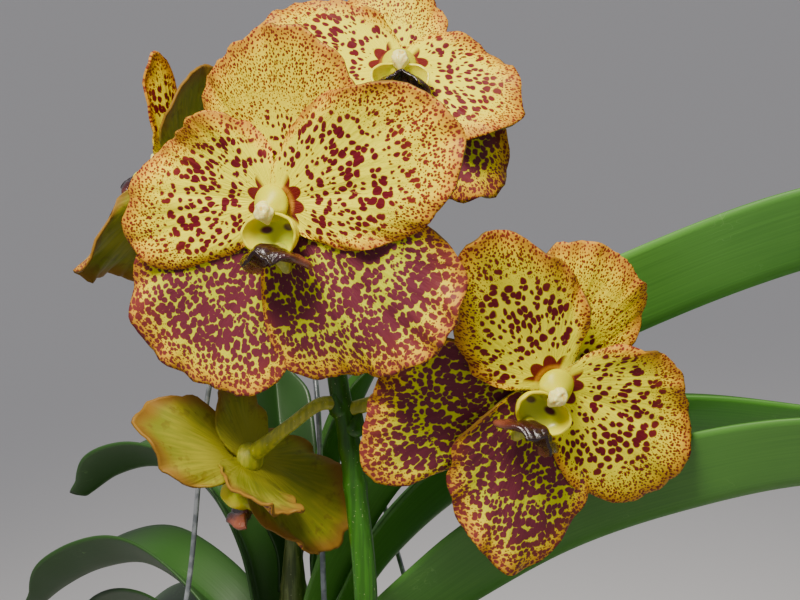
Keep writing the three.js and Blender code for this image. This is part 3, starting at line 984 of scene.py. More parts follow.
@dataclass(frozen=True)
class ClayFinish:
    """Fired clay: orange-brown, grainy, with pale lime bloom and darker damp at the foot."""

    clay: Colour = hexed(0xB5653F)
    deep: Colour = hexed(0x8E4628)
    bloom: Colour = hexed(0xD9BBA0)
    damp: Colour = hexed(0x5E2F1E)

    def make(self) -> Skin:
        """Builds the material.

        Returns:
            The finished material.
        """
        g = Graph("fired_clay", 0.85)
        z = g.split(g.place())[2]
        grain = g.noise(g.place(), 700.0, 4.0)
        clouds = g.noise(g.place(), 26.0, 5.0)
        colour = g.blend(g.step(clouds, 0.35, 0.65), self.deep, self.clay)
        colour = g.blend(g.step(grain, 0.62, 0.7) * 0.35, colour, self.bloom)
        chalk = g.patches(11.0, 6.0, 0.52, 0.66) * 0.6 * g.step(z + clouds * 0.05, 0.03, 0.12)
        colour = g.blend(chalk, colour, self.bloom)
        colour = g.blend(g.step(z, 0.03, 0.0) * 0.45, colour, self.damp)
        rings = g.noise(g.vector(0.0, 0.0, z * 420.0), 1.0)
        g.bumped(grain * 0.6 + rings * 0.6, 0.5, 0.5)
        return g.done(colour)


@dataclass(frozen=True)
class WireFinish:
    """Galvanised steel wire, dull grey with a faint spangle."""

    zinc: Colour = hexed(0xA9AEB2)
    dull: Colour = hexed(0x7A8084)

    def make(self) -> Skin:
        """Builds the material.

        Returns:
            The finished material.
        """
        g = Graph("galvanised_wire", 0.36, Metallic=0.55)
        g.bumped(g.noise(g.place(), 1500.0), 0.15, 0.4)
        return g.done(g.blend(g.patches(260.0, 3.0, 0.4, 0.65), self.dull, self.zinc))


# Blooms

class Kind(Enum):
    """The three sorts of tepal, which differ in their spots."""

    DORSAL = "dorsal"
    LATERAL = "lateral"
    PETAL = "petal"


FAN = math.radians(96)
CLAW = 2.4
TEPAL_THICKNESS = 0.85
SEAT_RADIUS = 4.7
CUP_CENTRE = Vector((0, -8.2, 9.3))
CUP_RADII = (8.6, 6.2, 4.9)
CUP_WALL = 0.7
TONGUE_WIDTHS = (8.6, 10.2, 8.8, 6.6, 4.4)
TONGUE_THICKNESS = 2.7
SPUR_RADII = (3.2, 2.5, 1.2)
COLUMN_FOOT = 5.5
COLUMN_TIP = 3.7
DORSAL_OUTLINE = (3, 7, 23, 36, 40, 36, 23, 7, 3)
PETAL_OUTLINE = (3, 9, 27, 39, 43, 40, 26, 9, 3)
SEPAL_OUTLINE = (3, 9, 27, 40, 46, 41, 25, 8, 3)
RIGHT_SEPAL_LIFT = 1.6
PETAL_LIFT = 3.2


@dataclass(frozen=True)
class Tepal:
    """One sepal or petal, fanned out from the column's foot.

    Its axis is in degrees anticlockwise from the bloom's right, and its radii are its outline at even
    angles from one side of the fan to the other. It rises by its pitch in degrees, then by its bend at
    the end, and lies on its neighbours by its lift. Its phase makes its waves its own.
    """

    kind: Kind
    axis: float
    radii: Sequence[float]
    pitch: float
    bend: float
    phase: float
    lift: float = 0.0
    reach: float = 1.0
    wave: float = 1.6
    twisted: bool = False

    def edge(self, phi: float) -> float:
        """The tepal's outline with its small crinkles.

        Args:
            phi: the angle from the axis, in radians.

        Returns:
            The outline's radius there, in millimetres.
        """
        plain = sample(self.radii, 0.5 + 0.5 * phi / FAN) * self.reach
        crinkle = 2.2 * rough(phi * 3.1, self.phase * 7, 0.3)
        crinkle += 1.5 * rough(phi * 8.5, self.phase * 5, 2.3) + 0.5 * rough(phi * 24, self.phase * 5, 4.1)
        return plain + (crinkle - 0.3) * smooth(10, 26, plain)

    def spot(self, s: float, t: float) -> Spot:
        """The tepal's surface in the bloom's frame.

        Args:
            s: -1..1 round the fan.
            t: 0..1 from the claw to the margin.

        Returns:
            Its place, with the angle and the radius in tenths of a metre as surface coordinates.
        """
        phi = FAN * (0.8 * s + 0.2 * s ** 3)
        q = t ** 0.85
        edge = self.edge(phi)
        r = mixed(CLAW, edge, q)
        u = r * math.cos(phi)
        v = r * math.sin(phi)
        out = max(0.0, u) / (max(self.radii) * self.reach)
        broad = smooth(6, 22, edge)
        z = self.lift * smooth(1.2, 4.4, r) + math.tan(math.radians(self.pitch)) * max(0.0, u - 3)
        z += self.bend * out ** 2.2 + self.wave * q ** 3 * broad * math.sin(6.4 * phi + self.phase)
        z += self.ruffle(phi, q) * broad
        z += 0.2 * q ** 2 * broad * rough(phi * 26, self.phase * 9, q * 2)
        z -= 0.7 * bell(v, 2.2) * smooth(3, 14, r) * (1 - q * q)
        turn = math.radians(self.axis)
        at = Vector((u * math.cos(turn) - v * math.sin(turn), u * math.sin(turn) + v * math.cos(turn), z))
        inset = max(0.0, edge - r) + 8 * (1 - smooth(8, 24, edge))
        return Spot(at, (phi, r / 100), self.paint(q, r, inset))

    def ruffle(self, phi: float, q: float) -> float:
        """How far the margin waves out of the tepal, sepals only where they are free.

        Args:
            phi: the angle from the axis, in radians.
            q: 0..1 from the claw to the margin.

        Returns:
            The wave's height in millimetres.
        """
        wave = (4.6 * q ** 4 * rough(phi * 3.4, self.phase * 3, q)
                + 3.0 * q ** 7 * rough(phi * 8.0, self.phase * 5, q))
        if self.kind is Kind.PETAL:
            return 0.9 * wave + 0.4 * q ** 4 - 0.9 * q ** 12
        free = smooth(0.66 * FAN, 0.36 * FAN, abs(phi)) if self.kind is Kind.LATERAL else 0.5
        return free * (1.3 * wave - 1.4 * q ** 9)

    def paint(self, q: float, r: float, inset: float) -> Fields:
        """How thickly the tepal is spotted at a place.

        Args:
            q: 0..1 from the claw to the margin.
            r: distance from the column, in millimetres.
            inset: distance from the margin, in millimetres.

        Returns:
            The painted values of the spotted finish.
        """
        if self.kind is Kind.LATERAL:
            dense = 0.63 * smooth(4, 8, r) * (1 - 0.4 * smooth(0.72, 0.98, q))
            fine, lime = 0.3 * smooth(0.75, 0.95, q), 0.8 - 0.5 * smooth(0.7, 0.95, q)
        elif self.kind is Kind.PETAL:
            dense = 0.43 * smooth(8, 15, r) * (1 - 0.7 * smooth(0.66, 0.92, q))
            fine, lime = 0.34 * smooth(0.58, 0.88, q), 0.05
        else:
            dense = 0.38 * smooth(8, 13, r) * (1 - 0.85 * smooth(0.38, 0.62, q))
            fine, lime = 0.33 * smooth(0.36, 0.6, q), 0.0
        seed = self.axis / 360 + self.phase
        return {"dense": dense, "fine": fine, "lime": lime, "inset": inset, "seed": seed}


dorsal = partial(Tepal, Kind.DORSAL)
left_sepal = partial(Tepal, Kind.LATERAL)
right_sepal = partial(Tepal, Kind.LATERAL, lift=RIGHT_SEPAL_LIFT)
petal = partial(Tepal, Kind.PETAL, lift=PETAL_LIFT)


@dataclass
class Bloom:
    """One bloom with its sepals, petals, lip and column, in a frame whose z faces out of it.

    Its face is its turn to the right, its tip upwards and its lean, in degrees.
    """

    name: str
    at: Triple
    face: Triple
    tepals: Sequence[Tepal]
    cols: int = 72
    rows: int = 30

    def __post_init__(self) -> None:
        """Works out the bloom's frame from its turn, tip and lean."""
        yaw, pitch, roll = (math.radians(a) for a in self.face)
        z = Vector((math.sin(yaw) * math.cos(pitch), -math.cos(yaw) * math.cos(pitch), math.sin(pitch)))
        x = Matrix.Rotation(-roll, 3, z) @ Vector((math.cos(yaw), math.sin(yaw), 0))
        self.turn = Matrix((x, z.cross(x), z)).transposed()

    def out(self, local: Vector) -> Vector:
        """A point of the bloom's frame in the plant's frame."""
        return self.turn @ local + Vector(self.at)

    def own(self, local: Vector) -> Spot:
        """A spot of the bloom that remembers its place in the bloom's frame."""
        return Spot(self.out(local), (local.x / 100, local.y / 100), {}, local)

    def carry(self, piece: Piece) -> Piece:
        """Places a piece that was made in the bloom's frame, and writes where each point was.

        Args:
            piece: the object to place.

        Returns:
            The same object.
        """
        locals_ = [v.co / MM for v in piece.data.vertices]
        layer = piece.data.attributes.new("local", "FLOAT_VECTOR", "POINT")
        layer.data.foreach_set("vector", [c for p in locals_ for c in p])
        for vertex, local in zip(piece.data.vertices, locals_):
            vertex.co = self.out(local) * MM
        return piece

    def make_tepals(self, finishes: dict[str, Skin]) -> Piece:
        """The five tepals, each with its own spotted face.

        Args:
            finishes: the materials by name.

        Returns:
            The tepals as one object.
        """
        blades = []
        for number, tepal in enumerate(self.tepals):
            def place(s: float, t: float, tepal: Tepal = tepal) -> Spot:
                """Carries a spot of one tepal to the bloom's place.

                Args:
                    s: -1..1 round the fan.
                    t: 0..1 from the claw to the margin.
                    tepal: the tepal.

                Returns:
                    Its spot in the plant's frame.
                """
                spot = tepal.spot(s, t)
                spot.at = self.out(spot.at)
                return spot
            faces = (finishes[tepal.kind.value], finishes["back"])
            if tepal.twisted:
                faces = faces[::-1]
            blade = sheet(f"{self.name}_blade_{number}", self.cols, self.rows, place, TEPAL_THICKNESS, faces)
            blades.append(dressed(blade))
        return joined(f"{self.name}_tepal_fan", blades)

    def make_seat(self) -> Piece:
        """The seat behind the tepals, which narrows into the stalk.

        Returns:
            The seat.
        """
        def place(p: Vector) -> Spot:
            """Narrows the ball towards its back.

            Args:
                p: a point of the unit sphere.

            Returns:
                Its spot in the plant's frame.
            """
            back = smooth(0.0, -1.0, p.z)
            wide = SEAT_RADIUS * (1 - 0.35 * back)
            return self.own(Vector((p.x * wide, p.y * wide, -0.4 + p.z * (3.4 + 1.6 * back))))
        return orb(f"{self.name}_seat", 32, 20, place)

    def make_cup(self) -> Piece:
        """The lip's cup: the lower half of a ball, hollow, with its sides raised.

        Returns:
            The cup.
        """
        settle()
        bpy.ops.mesh.primitive_uv_sphere_add(segments=56, ring_count=36, radius=1.0)
        piece = named(f"{self.name}_lip_cup")
        edit(piece)
        bpy.ops.mesh.bisect(plane_co=(0, 0, 0.02), plane_no=(0, 0, 1), clear_outer=True)
        settle()
        wide, high, deep = CUP_RADII
        for vertex in piece.data.vertices:
            p = vertex.co
            rise = smooth(-0.75, 0.02, p.z)
            side, front = p.x ** 2, max(0.0, -p.y)
            lift = 1.6 * side - 0.6 * front ** 2 + 0.2 * math.sin(9 * math.atan2(p.y, p.x))
            at = Vector((p.x * wide, p.y * high + 1.1 * side * rise, p.z * deep + rise * lift))
            vertex.co = (CUP_CENTRE + at) * MM
        modified(piece, "SOLIDIFY", thickness=CUP_WALL * MM, offset=0.0)
        modified(piece, "SUBSURF", levels=1, render_levels=1)
        return self.carry(piece)

    def make_tongue(self, finish: Skin) -> Piece:
        """The lip's tongue: a shield with turned-down sides, middle keels and a thin, notched tip.

        Args:
            finish: the tongue's material.

        Returns:
            The tongue.
        """
        def place(s: float, t: float) -> Spot:
            """Shapes the tongue.

            Args:
                s: -1..1 from side to side.
                t: 0..1 from the cup to the tip.

            Returns:
                Its spot in the plant's frame.
            """
            half = sample(TONGUE_WIDTHS, t)
            notch = bell(s, 0.28) * smooth(0.86, 1.0, t)
            z = mixed(8.8, 20, t) - 2.4 * s * s * (1 - t) - 0.6 * notch
            y = mixed(-13.2, -9.4, t) - mixed(5.8, 3.0, t) * s * s - 1.6 * smooth(0.7, 1, t)
            keels = mixed(0.8, 0.45, t) * (math.cos(2 * math.pi * s) + 0.45 * math.cos(6 * math.pi * s))
            lumps = 0.5 * smooth(0.5, 0.9, t) * rough(s * 5, t * 7, 1.7)
            y += (keels + lumps) * (1 - s ** 6) + 0.6 * math.sin(7 * t + 4 * s) * abs(s) ** 3
            spot = self.own(Vector((s * half + 0.3 * math.sin(13 * t) * s, y, z)))
            spot.thick = (1 - 0.65 * smooth(0.55, 1.0, t)) * (1 - 0.4 * s ** 6)
            return spot
        blade = sheet(f"{self.name}_lip_tongue", 40, 36, place, TONGUE_THICKNESS, (finish,), False)
        return modified(blade, "SUBSURF", levels=1, render_levels=1)

    def make_spur(self) -> Piece:
        """The short spur under the cup."""
        route = Route(self.out(Vector(p)) for p in ((0, -11, 8.4), (0, -16, 6.2), (0, -20, 5)))
        return tube(f"{self.name}_lip_spur", route, SPUR_RADII, sides=16, step=0.8)

    def make_column(self) -> Piece:
        """The column's body, which narrows and bends down, with wings beside its stigma's hollow.

        Returns:
            The column's body.
        """
        def place(p: Vector) -> Spot:
            """Shapes the column's body.

            Args:
                p: a point of the unit sphere.

            Returns:
                Its spot in the plant's frame.
            """
            end = smooth(-0.5, 1.0, p.z)
            wide = mixed(COLUMN_FOOT, COLUMN_TIP, end)
            under = smooth(0.0, -0.8, p.y) * smooth(-0.1, 0.7, p.z)
            wing = 0.2 * bell(p.y + 0.4, 0.3) * smooth(-0.3, 0.4, p.z)
            y = 0.4 + p.y * wide * (1 - 0.5 * under) - 1.3 * end
            z = 6.6 + p.z * 4.2 - 1.2 * under * smooth(0.2, 0.9, p.z)
            return self.own(Vector((p.x * wide * (1 + wing), y, z)))
        return orb(f"{self.name}_column_body", 44, 32, place)

    def make_cap(self) -> Piece:
        """The anther cap with its two lobes and its beak.

        Returns:
            The cap.
        """
        def place(p: Vector) -> Spot:
            """Shapes the cap.

            Args:
                p: a point of the unit sphere.

            Returns:
                Its spot in the plant's frame.
            """
            beak = smooth(-0.3, -1.0, p.y)
            lobes = bell(abs(p.x) - 0.5, 0.22) * max(0.0, p.z)
            grown = 1 + 0.3 * noise.noise(p * 2.1 + Vector(self.at)) + 0.12 * lobes
            x = p.x * 2.6 * (1 - 0.45 * beak) * grown
            y = -1.2 + p.y * (3.2 + 0.7 * beak)
            return self.own(Vector((x, y, 10.3 + (p.z * 2.4 - 0.8 * beak) * grown)))
        return orb(f"{self.name}_anther_cap", 40, 28, place)

    def build(self, finishes: dict[str, Skin]) -> None:
        """Builds and dresses the whole bloom.

        Args:
            finishes: the materials by name.
        """
        tepals, lip, column = (f"{self.name}_{part}" for part in ("tepals", "lip", "column"))
        mount(self.make_tepals(finishes), "tepal", tepals)
        mount(dressed(self.make_seat(), finishes["seat"]), "tepal", tepals)
        mount(dressed(self.make_cup(), finishes["cup"]), "lip", lip)
        mount(dressed(self.make_tongue(finishes["tongue"])), "lip", lip)
        mount(dressed(self.make_spur(), finishes["spur"]), "lip", lip)
        mount(dressed(self.make_column(), finishes["column"]), "column", column)
        mount(dressed(self.make_cap(), finishes["cap"]), "column", column)


BLOOMS = (
    Bloom("flower_1", (3, -78.6, 400.5), (-27, -6, -10), (
        left_sepal(231, (3, 8, 42, 67, 65, 54, 24, 7, 3), 2, 2, 0.6),
        right_sepal(306, (3, 9, 48, 53, 61, 60, 34, 9, 3), 2, -2, 2.2),
        dorsal(78, (3, 8, 30, 47.5, 50, 43, 32, 9, 3), 1, 3, 1.2),
        petal(168, (3, 21, 33, 38, 48, 52, 21, 8, 3), 2, -1, 0.2),
        petal(0, (3, 6, 18, 38, 59, 58, 38, 17, 4), 3, -2, 2.9)), 110, 44),
    Bloom("flower_2", (79.1, -74.5, 348.6), (12, -14, 34), (
        left_sepal(228, (3, 8, 24, 45, 54, 56, 15, 6, 3), -2, -4, 0.4),
        right_sepal(296, (3, 8, 32, 48, 62, 45, 17, 6, 3), 3, 2, 1.7),
        dorsal(98, (4, 7, 25, 36, 41, 40, 26, 8, 3), -2, -2, 2.5),
        petal(156, (3, 9, 27, 41, 55, 37, 25, 7, 3), 2, 1, 0.9),
        petal(8, (3, 10, 36, 54, 49, 39, 29, 9, 3), 2, -3, 2)), 110, 44),
    Bloom("flower_3", (35.4, -26.6, 433.2), (4, 34, 2), (
        left_sepal(240, SEPAL_OUTLINE, -12, -5, 0.5),
        right_sepal(313, (3, 9, 26, 39, 45, 37, 19, 8, 3), -16, -5, 1.5),
        dorsal(94, (3, 8, 23, 29, 32, 30, 23, 8, 3), 12, -2, 2.5),
        petal(159, (3, 9, 18, 31, 43, 42, 25, 9, 3), 7, -1, 0.1),
        petal(-2, (3, 10, 31, 40, 37, 27, 18, 8, 3), 1, -1, 2.8))),
    Bloom("flower_4", (-34.7, -5.3, 401.5), (-130, 20, 0), (
        left_sepal(247, SEPAL_OUTLINE, 2, 4, 1.2, reach=0.84),
        right_sepal(284, (3, 14, 34, 45, 44, 46, 20, 8, 3), 2, 8, 2.1),
        dorsal(100, DORSAL_OUTLINE, 4, 2, 1.1, reach=0.86),
        petal(162, PETAL_OUTLINE, 4, 4, 1.9, reach=0.8),
        petal(72, (3, 5, 9, 17, 38, 17, 9, 6, 3), 8, 4, 0.4, twisted=True))),
    Bloom("flower_5", (-10.7, -37.8, 315.2), (-140, -34, 8), (
        left_sepal(232, (3, 10, 24, 31, 40, 38, 28, 13, 4), 0, 1, 0.3),
        right_sepal(312, SEPAL_OUTLINE, -34, -8, 1.8, reach=0.64),
        dorsal(104, (3, 6, 12, 20, 26, 20, 12, 6, 3), 4, -3, 1.4),
        petal(42, (3, 8, 20, 30, 38, 30, 15, 7, 3), 2, 1, 0.7),
        petal(160, PETAL_OUTLINE, 6, 3, 2.6, reach=0.5))),
)


# Spike and stalks

@dataclass
class FlowerSpike:
    """The green spike, a stalk for each bloom, and the bracts where stalks leave it."""

    line: Points = (
        (-4, -9.1, 166), (1, -17, 182), (14, -27, 206), (23.5, -36.5, 236), (25.4, -45.5, 271),
        (22.7, -44.6, 303), (20.3, -43.2, 322), (17, -41.5, 340), (14.5, -36.5, 364),
        (13.5, -26, 390), (14.5, -15, 411))
    radii: Sequence[float] = (3.2, 4, 4, 3.8, 3.7, 3.6, 3.3, 3, 2.7, 1.8)
    knots: Sequence[float] = (0.24, 0.42, 0.585, 0.63, 0.75, 0.87)
    stalk_radii: Sequence[float] = (2.4, 2.1, 2, 2.1, 2.5, 3.0)
    starts: dict[str, Points] = field(default_factory=lambda: {
        "flower_1": ((14.2, -35.5, 366), (15, -44, 380), (11, -58, 395)),
        "flower_2": ((19.4, -42.5, 331), (36, -44, 337), (60, -54, 350)),
        "flower_3": ((14, -21, 399), (23, -12, 412), (32, -10, 424)),
        "flower_4": ((13.6, -27.6, 387), (6, -20, 392), (-6, -10, 397)),
        "flower_5": ((18.4, -42.3, 333), (12, -45, 334), (3, -46.5, 328))})
    bracts: Sequence[tuple[Triple, Triple, float]] = (
        ((24.6, -44.4, 264), (-4.5, -2.7, 7.2), 4.4), ((20.4, -43, 323), (3.6, -0.9, 8.1), 4.0),
        ((18.4, -42, 329), (-2.7, -2.7, 8.1), 3.8), ((14.6, -36, 362), (0, -4.5, 7.8), 3.4))

    def build(self, blooms: Sequence[Bloom], green: Skin, yellow: Skin) -> None:
        """Builds the spike and its stalks.

        Args:
            blooms: the blooms that the stalks end at.
            green: the spike's finish.
            yellow: the stalks' finish.
        """
        def swell(t: float) -> float:
            """How thick the spike is at t, with its knots."""
            return 1 + 0.1 * sum(bell(t - knot, 0.008) for knot in self.knots)
        spike = tube("spike_stem", Route(self.line), self.radii, sides=20, step=1.5, shape=swell)
        mount(dressed(spike, green), "spike", "flower_spike")
        for bloom in blooms:
            back = [bloom.out(Vector((0, 0, -d))) for d in (11, 3)]
            route = Route([*self.starts[bloom.name], *back])
            stalk = tube(f"{bloom.name}_stalk", route, self.stalk_radii, sides=16, step=1.2)
            mount(dressed(stalk, yellow), "spike", "flower_spike")
        for number, (root, arm, radius) in enumerate(self.bracts):
            start = Vector(root)
            route = Route([start, start + 0.55 * Vector(arm), start + Vector(arm)])
            bract = tube(f"bract_{number + 1}", route, (radius, radius * 0.82, 0.5), sides=16, step=0.7)
            mount(dressed(bract, green), "spike", "flower_spike")


# Leaves

SHEATH_RADIUS = 7.5
SHEATH_HEIGHT = 9.0
LEAF_THICKNESS = 1.6
LEAF_TAPER = (0.36, 0.56, 0.86, 1, 1, 1, 0.97, 0.86, 0.3)


@dataclass
class StrapLeaf:
    """A strap leaf: a clasp round the stem that opens into a folded, arching blade.

    It leaves the stem at the compass angle az and the height base. Its width is half of it laid flat,
    its path is distance and height along the keel, and its fold is the angle of each half to the
    middle plane. Its painted shade, 0..1, darkens it where the leaf lies in shade.
    """

    name: str
    az: float
    base: float
    width: float
    path: Sequence[tuple[float, float]]
    roll: float = 0.0
    fold: Sequence[float] = (62, 54, 50, 52, 58)
    clasp: float = 68.0
    # painted shade: how far the leaf is darkened because it lies in shade, 0..1
    age: float = 0.95
    rows: int = 90
    cols: int = 24

    def __post_init__(self) -> None:
        """Draws the keel's line, from the clasp out to the tip."""
        points = ((SHEATH_RADIUS, self.base), (SHEATH_RADIUS, self.base + SHEATH_HEIGHT), *self.path)
        self.keel = Route((d, 0, z) for d, z in points)
        self.out = polar(1, self.az, 0)
        self.side = polar(1, self.az + 90, 0)

    def spot(self, v: float, t: float) -> Spot:
        """The leaf's surface.

        Args:
            v: -1..1 from margin to margin.
            t: 0..1 from the clasp to the tip.

        Returns:
            Its place, with tenths of a metre across and along as surface coordinates.
        """
        point, heading = self.keel.at(t), self.keel.heading(t)
        centre = self.out * point.x + Vector((0, 0, point.z))
        along = (self.out * heading.x + Vector((0, 0, heading.z))).normalized()
        turn = math.radians(self.roll) * smooth(0.12, 0.45, t)
        across = Matrix.Rotation(-turn, 3, along) @ self.side
        inward = along.cross(across)
        opened = smooth(SHEATH_HEIGHT, 30, t * self.keel.length)
        half = self.width * sample(LEAF_TAPER, t)
        opening = math.radians(sample(self.fold, t))
        bow = math.sqrt(v * v + 0.01) - 0.1
        clasp = math.radians(self.clasp) * v
        x = mixed(SHEATH_RADIUS * math.sin(clasp), half * v * math.sin(opening), opened)
        y = mixed(SHEATH_RADIUS * (1 - math.cos(clasp)), half * bow * math.cos(opening), opened)
        y += opened * 0.5 * math.sin(0.055 * t * self.keel.length + self.az) * abs(v) ** 3
        tip = smooth(0.965, 1.0, t)
        lobe = tip * 5 * abs(v) * (0.6 if v > 0 else 1.0)
        at = centre + across * x + inward * y + along * lobe
        # the leaf's painted shade goes to its finish as a painted value
        return Spot(at, (v * half / 100, t * self.keel.length / 100), {"age": self.age},
                    thick=1 - 0.5 * abs(v) ** 6)

    def build(self, upper: Skin, under: Skin) -> None:
        """Builds and dresses the leaf.

        Args:
            upper: the finish of its inner face.
            under: the finish of its back.
        """
        blade = sheet(f"{self.name}_blade", self.cols, self.rows, self.spot, LEAF_THICKNESS,
                      (upper, under), False)
        mount(dressed(blade), "leaf", self.name)


# The lower and left-hand leaves and the tall crown leaf are darkened with painted shade, as they lie in
# shade; the upper right leaves stay nearly bright.
LEAVES = (
    StrapLeaf("leaf_right_1", -18, 232, 29,
              ((14, 256), (38, 299), (74, 331), (117, 356), (164, 377), (212, 391), (246, 394)),
              roll=24, age=0.0),
    StrapLeaf("leaf_right_2", -4, 209, 22,
              ((13, 236), (33, 271), (70, 302), (118, 315), (164, 313), (206, 308), (232, 300)),
              roll=12, age=0.2),
    StrapLeaf("leaf_right_3", -20, 185, 29,
              ((14, 210), (34, 240), (64, 263), (97, 285), (132, 301), (170, 313), (214, 317),
               (240, 313)), roll=24, age=0.3),
    StrapLeaf("leaf_right_4", -18, 161, 23,
              ((14, 186), (36, 207), (70, 221), (108, 226), (150, 218), (184, 202)), roll=10, age=0.75),
    StrapLeaf("leaf_right_5", -28, 137, 21,
              ((14, 161), (36, 177), (70, 184), (104, 178), (134, 160)), roll=4, age=0.85),
    StrapLeaf("leaf_left_1", 145, 220, 17,
              ((14, 245), (22, 270), (38, 289), (60, 293), (80, 287), (97, 276)), roll=-5),
    StrapLeaf("leaf_left_2", 140, 196, 18,
              ((15, 220), (30, 237), (47, 247), (72, 253), (98, 246), (122, 233), (137, 222)), roll=-5),
    StrapLeaf("leaf_left_3", 126, 173, 21,
              ((15, 196), (36, 214), (66, 224), (100, 219), (132, 202), (156, 177)), roll=-6),
    StrapLeaf("leaf_left_4", 150, 149, 21,
              ((15, 171), (36, 186), (70, 193), (106, 184), (138, 165), (158, 143))),
    StrapLeaf("leaf_left_5", 140, 126, 20, ((15, 147), (36, 160), (68, 163), (98, 152), (122, 134))),
    StrapLeaf("leaf_crown_tall", 103, 256, 15, ((11, 277), (20, 298), (30, 316), (36, 328)),
              fold=(60, 50, 46, 46, 50), clasp=34, age=1.0, rows=50),
    StrapLeaf("leaf_crown_young", 6, 262, 10, ((11, 283), (14, 298), (19, 314), (25, 328), (29, 336)),
              fold=(60, 48, 42, 40, 42), clasp=34, age=0.8, rows=50),
)


# Stem and roots

@dataclass
class StemAndRoots:
    """The upright stem with the rings of its earlier leaves, and the roots that leave its foot."""

    radius: float = 6.2
    bottom: float = 82.0
    top: float = 282.0
    roots: Sequence[Points] = (
        ((5, -2, 108), (22, -10, 112), (40, -18, 108), (50, -22, 92)),
        ((-4, -4, 112), (-16, -24, 117), (-28, -42, 110), (-34, -50, 90)),
        ((1, 5, 110), (8, 24, 115), (14, 42, 109), (17, 50, 90)),
        ((-4, 2, 111), (-26, 8, 118), (-44, 14, 111), (-54, 17, 92)),
        ((1, -3, 114), (8, -30, 127), (14, -58, 130), (20, -82, 124), (25, -93, 100), (24, -94, 70)),
        ((3, 2, 114), (30, 16, 127), (58, 34, 131), (78, 44, 124), (88, 50, 96)),
        ((-2, 2, 114), (-22, 28, 128), (-44, 56, 132), (-58, 74, 122), (-64, 82, 92), (-61, 80, 62)),
        ((-5, -2, 104), (-22, -12, 108), (-38, -20, 104), (-46, -25, 90)))

    def build(self, stem: Skin, skin: Skin) -> None:
        """Builds the stem and each root.

        Args:
            stem: the stem's finish.
            skin: the roots' finish.
        """
        rings = [104 + 12 * k for k in range(14)]
        length = self.top - self.bottom

        def ringed(t: float) -> float:
            """How thick the stem is at t, with its leaf rings."""
            z = self.bottom + t * length
            return 1 + 0.07 * sum(bell(z - ring, 1.1) for ring in rings)
        line = Route([(0, 0, self.bottom), (0, 0, 150), (0, 0, 215), (0, 0, 264), (0, 0, self.top)])
        radii = (6.8, *[self.radius] * 6, 4.6, 2)
        trunk = tube("stem_ringed", line, radii, sides=28, step=1.0, shape=ringed)
        mount(dressed(trunk, stem), "root", "stem_with_roots")
        for number, path in enumerate(self.roots):
            thick = 2.9 - 0.12 * (number % 4)

            def knobbly(t: float, number: int = number) -> float:
                """How thick the root is at t, with its lumps."""
                return 1 + 0.09 * rough(t * 9, number * 3.7, 0.5)
            taper = (thick + 0.5, thick, thick, thick * 0.95, thick * 0.7)
            root = tube(f"root_{number + 1}", Route(path), taper, sides=16, step=1.5, shape=knobbly)
            mount(dressed(root, skin), "root", "stem_with_roots")


# Pot and bark

RIM_TOP = 118.0
RIM_UNDER = 111.0
WIRE_RING = 75.4
WIRE_ANGLES = {"left": -160, "front": -70, "right": 20, "back": 100}


@dataclass
class ClayPot:
    """A turned clay pot with a broad rim, drain holes and a hole for each wire."""

    rim_radius: float = 81.0
    rim_band: float = 12.0
    wall_top_radius: float = 71.5
    foot_radius: float = 52.0
    wall: float = 5.0
    floor: float = 7.0
    edge: float = 1.5
    drain_ring: float = 30.0
    drain_radius: float = 6.0
    wire_hole: float = 1.7

    def profile(self) -> list[tuple[float, float]]:
        """The pot's half section.

        Returns:
            Radius and height of each corner, from the underside round the rim to the floor.
        """
        foot, rim, e = self.foot_radius, self.rim_radius, self.edge
        inner, wall_top, neck = rim - self.rim_band, self.wall_top_radius, RIM_UNDER - 3
        return [
            (0.5, 0.0), (foot - e, 0.0), (foot - 0.4 * e, 0.25 * e), (foot, e),
            *((mixed(foot, wall_top, k / 6), mixed(e, neck, k / 6)) for k in range(1, 7)),
            (rim - e, RIM_UNDER), (rim - 0.45 * e, RIM_UNDER + 0.3 * e), (rim, RIM_UNDER + e),
            (rim, RIM_TOP - e), (rim - 0.3 * e, RIM_TOP - 0.3 * e), (rim - e, RIM_TOP),
            (inner + e, RIM_TOP), (inner + 0.3 * e, RIM_TOP - 0.3 * e), (inner, RIM_TOP - e),
            (wall_top - self.wall, neck), (foot - self.wall + 1, self.floor), (0.5, self.floor)]

    @staticmethod
    def drill(pot: Piece, at: Vector, radius: float, depth: float, sides: int) -> None:
        """Drills one upright hole.

        Args:
            pot: the pot.
            at: the hole's middle.
            radius: of the drill.
            depth: of the drill, half of it to each side of the middle.
            sides: corners of the drill.
        """
        settle()
        bpy.ops.mesh.primitive_cylinder_add(vertices=sides, radius=radius * MM, depth=depth * MM,
                                            location=at * MM)
        bit = bpy.context.object
        modified(pot, "BOOLEAN", operation="DIFFERENCE", solver="EXACT", object=bit)
        bpy.data.objects.remove(bit)

    def build(self, clay: Skin) -> None:
        """Turns the pot, drills it and dresses it.

        Args:
            clay: the pot's material.
        """
        pot = turned("clay_pot", self.profile(), 96)
        for angle in (90, 210, 330):
            middle = polar(self.drain_ring, angle, self.floor / 2)
            self.drill(pot, middle, self.drain_radius, self.floor + 10, 32)
        for angle in WIRE_ANGLES.values():
            self.drill(pot, polar(WIRE_RING, angle, RIM_TOP - 4), self.wire_hole, 24, 20)
        mount(dressed(pot, clay, angle=40), "clay", "pot")


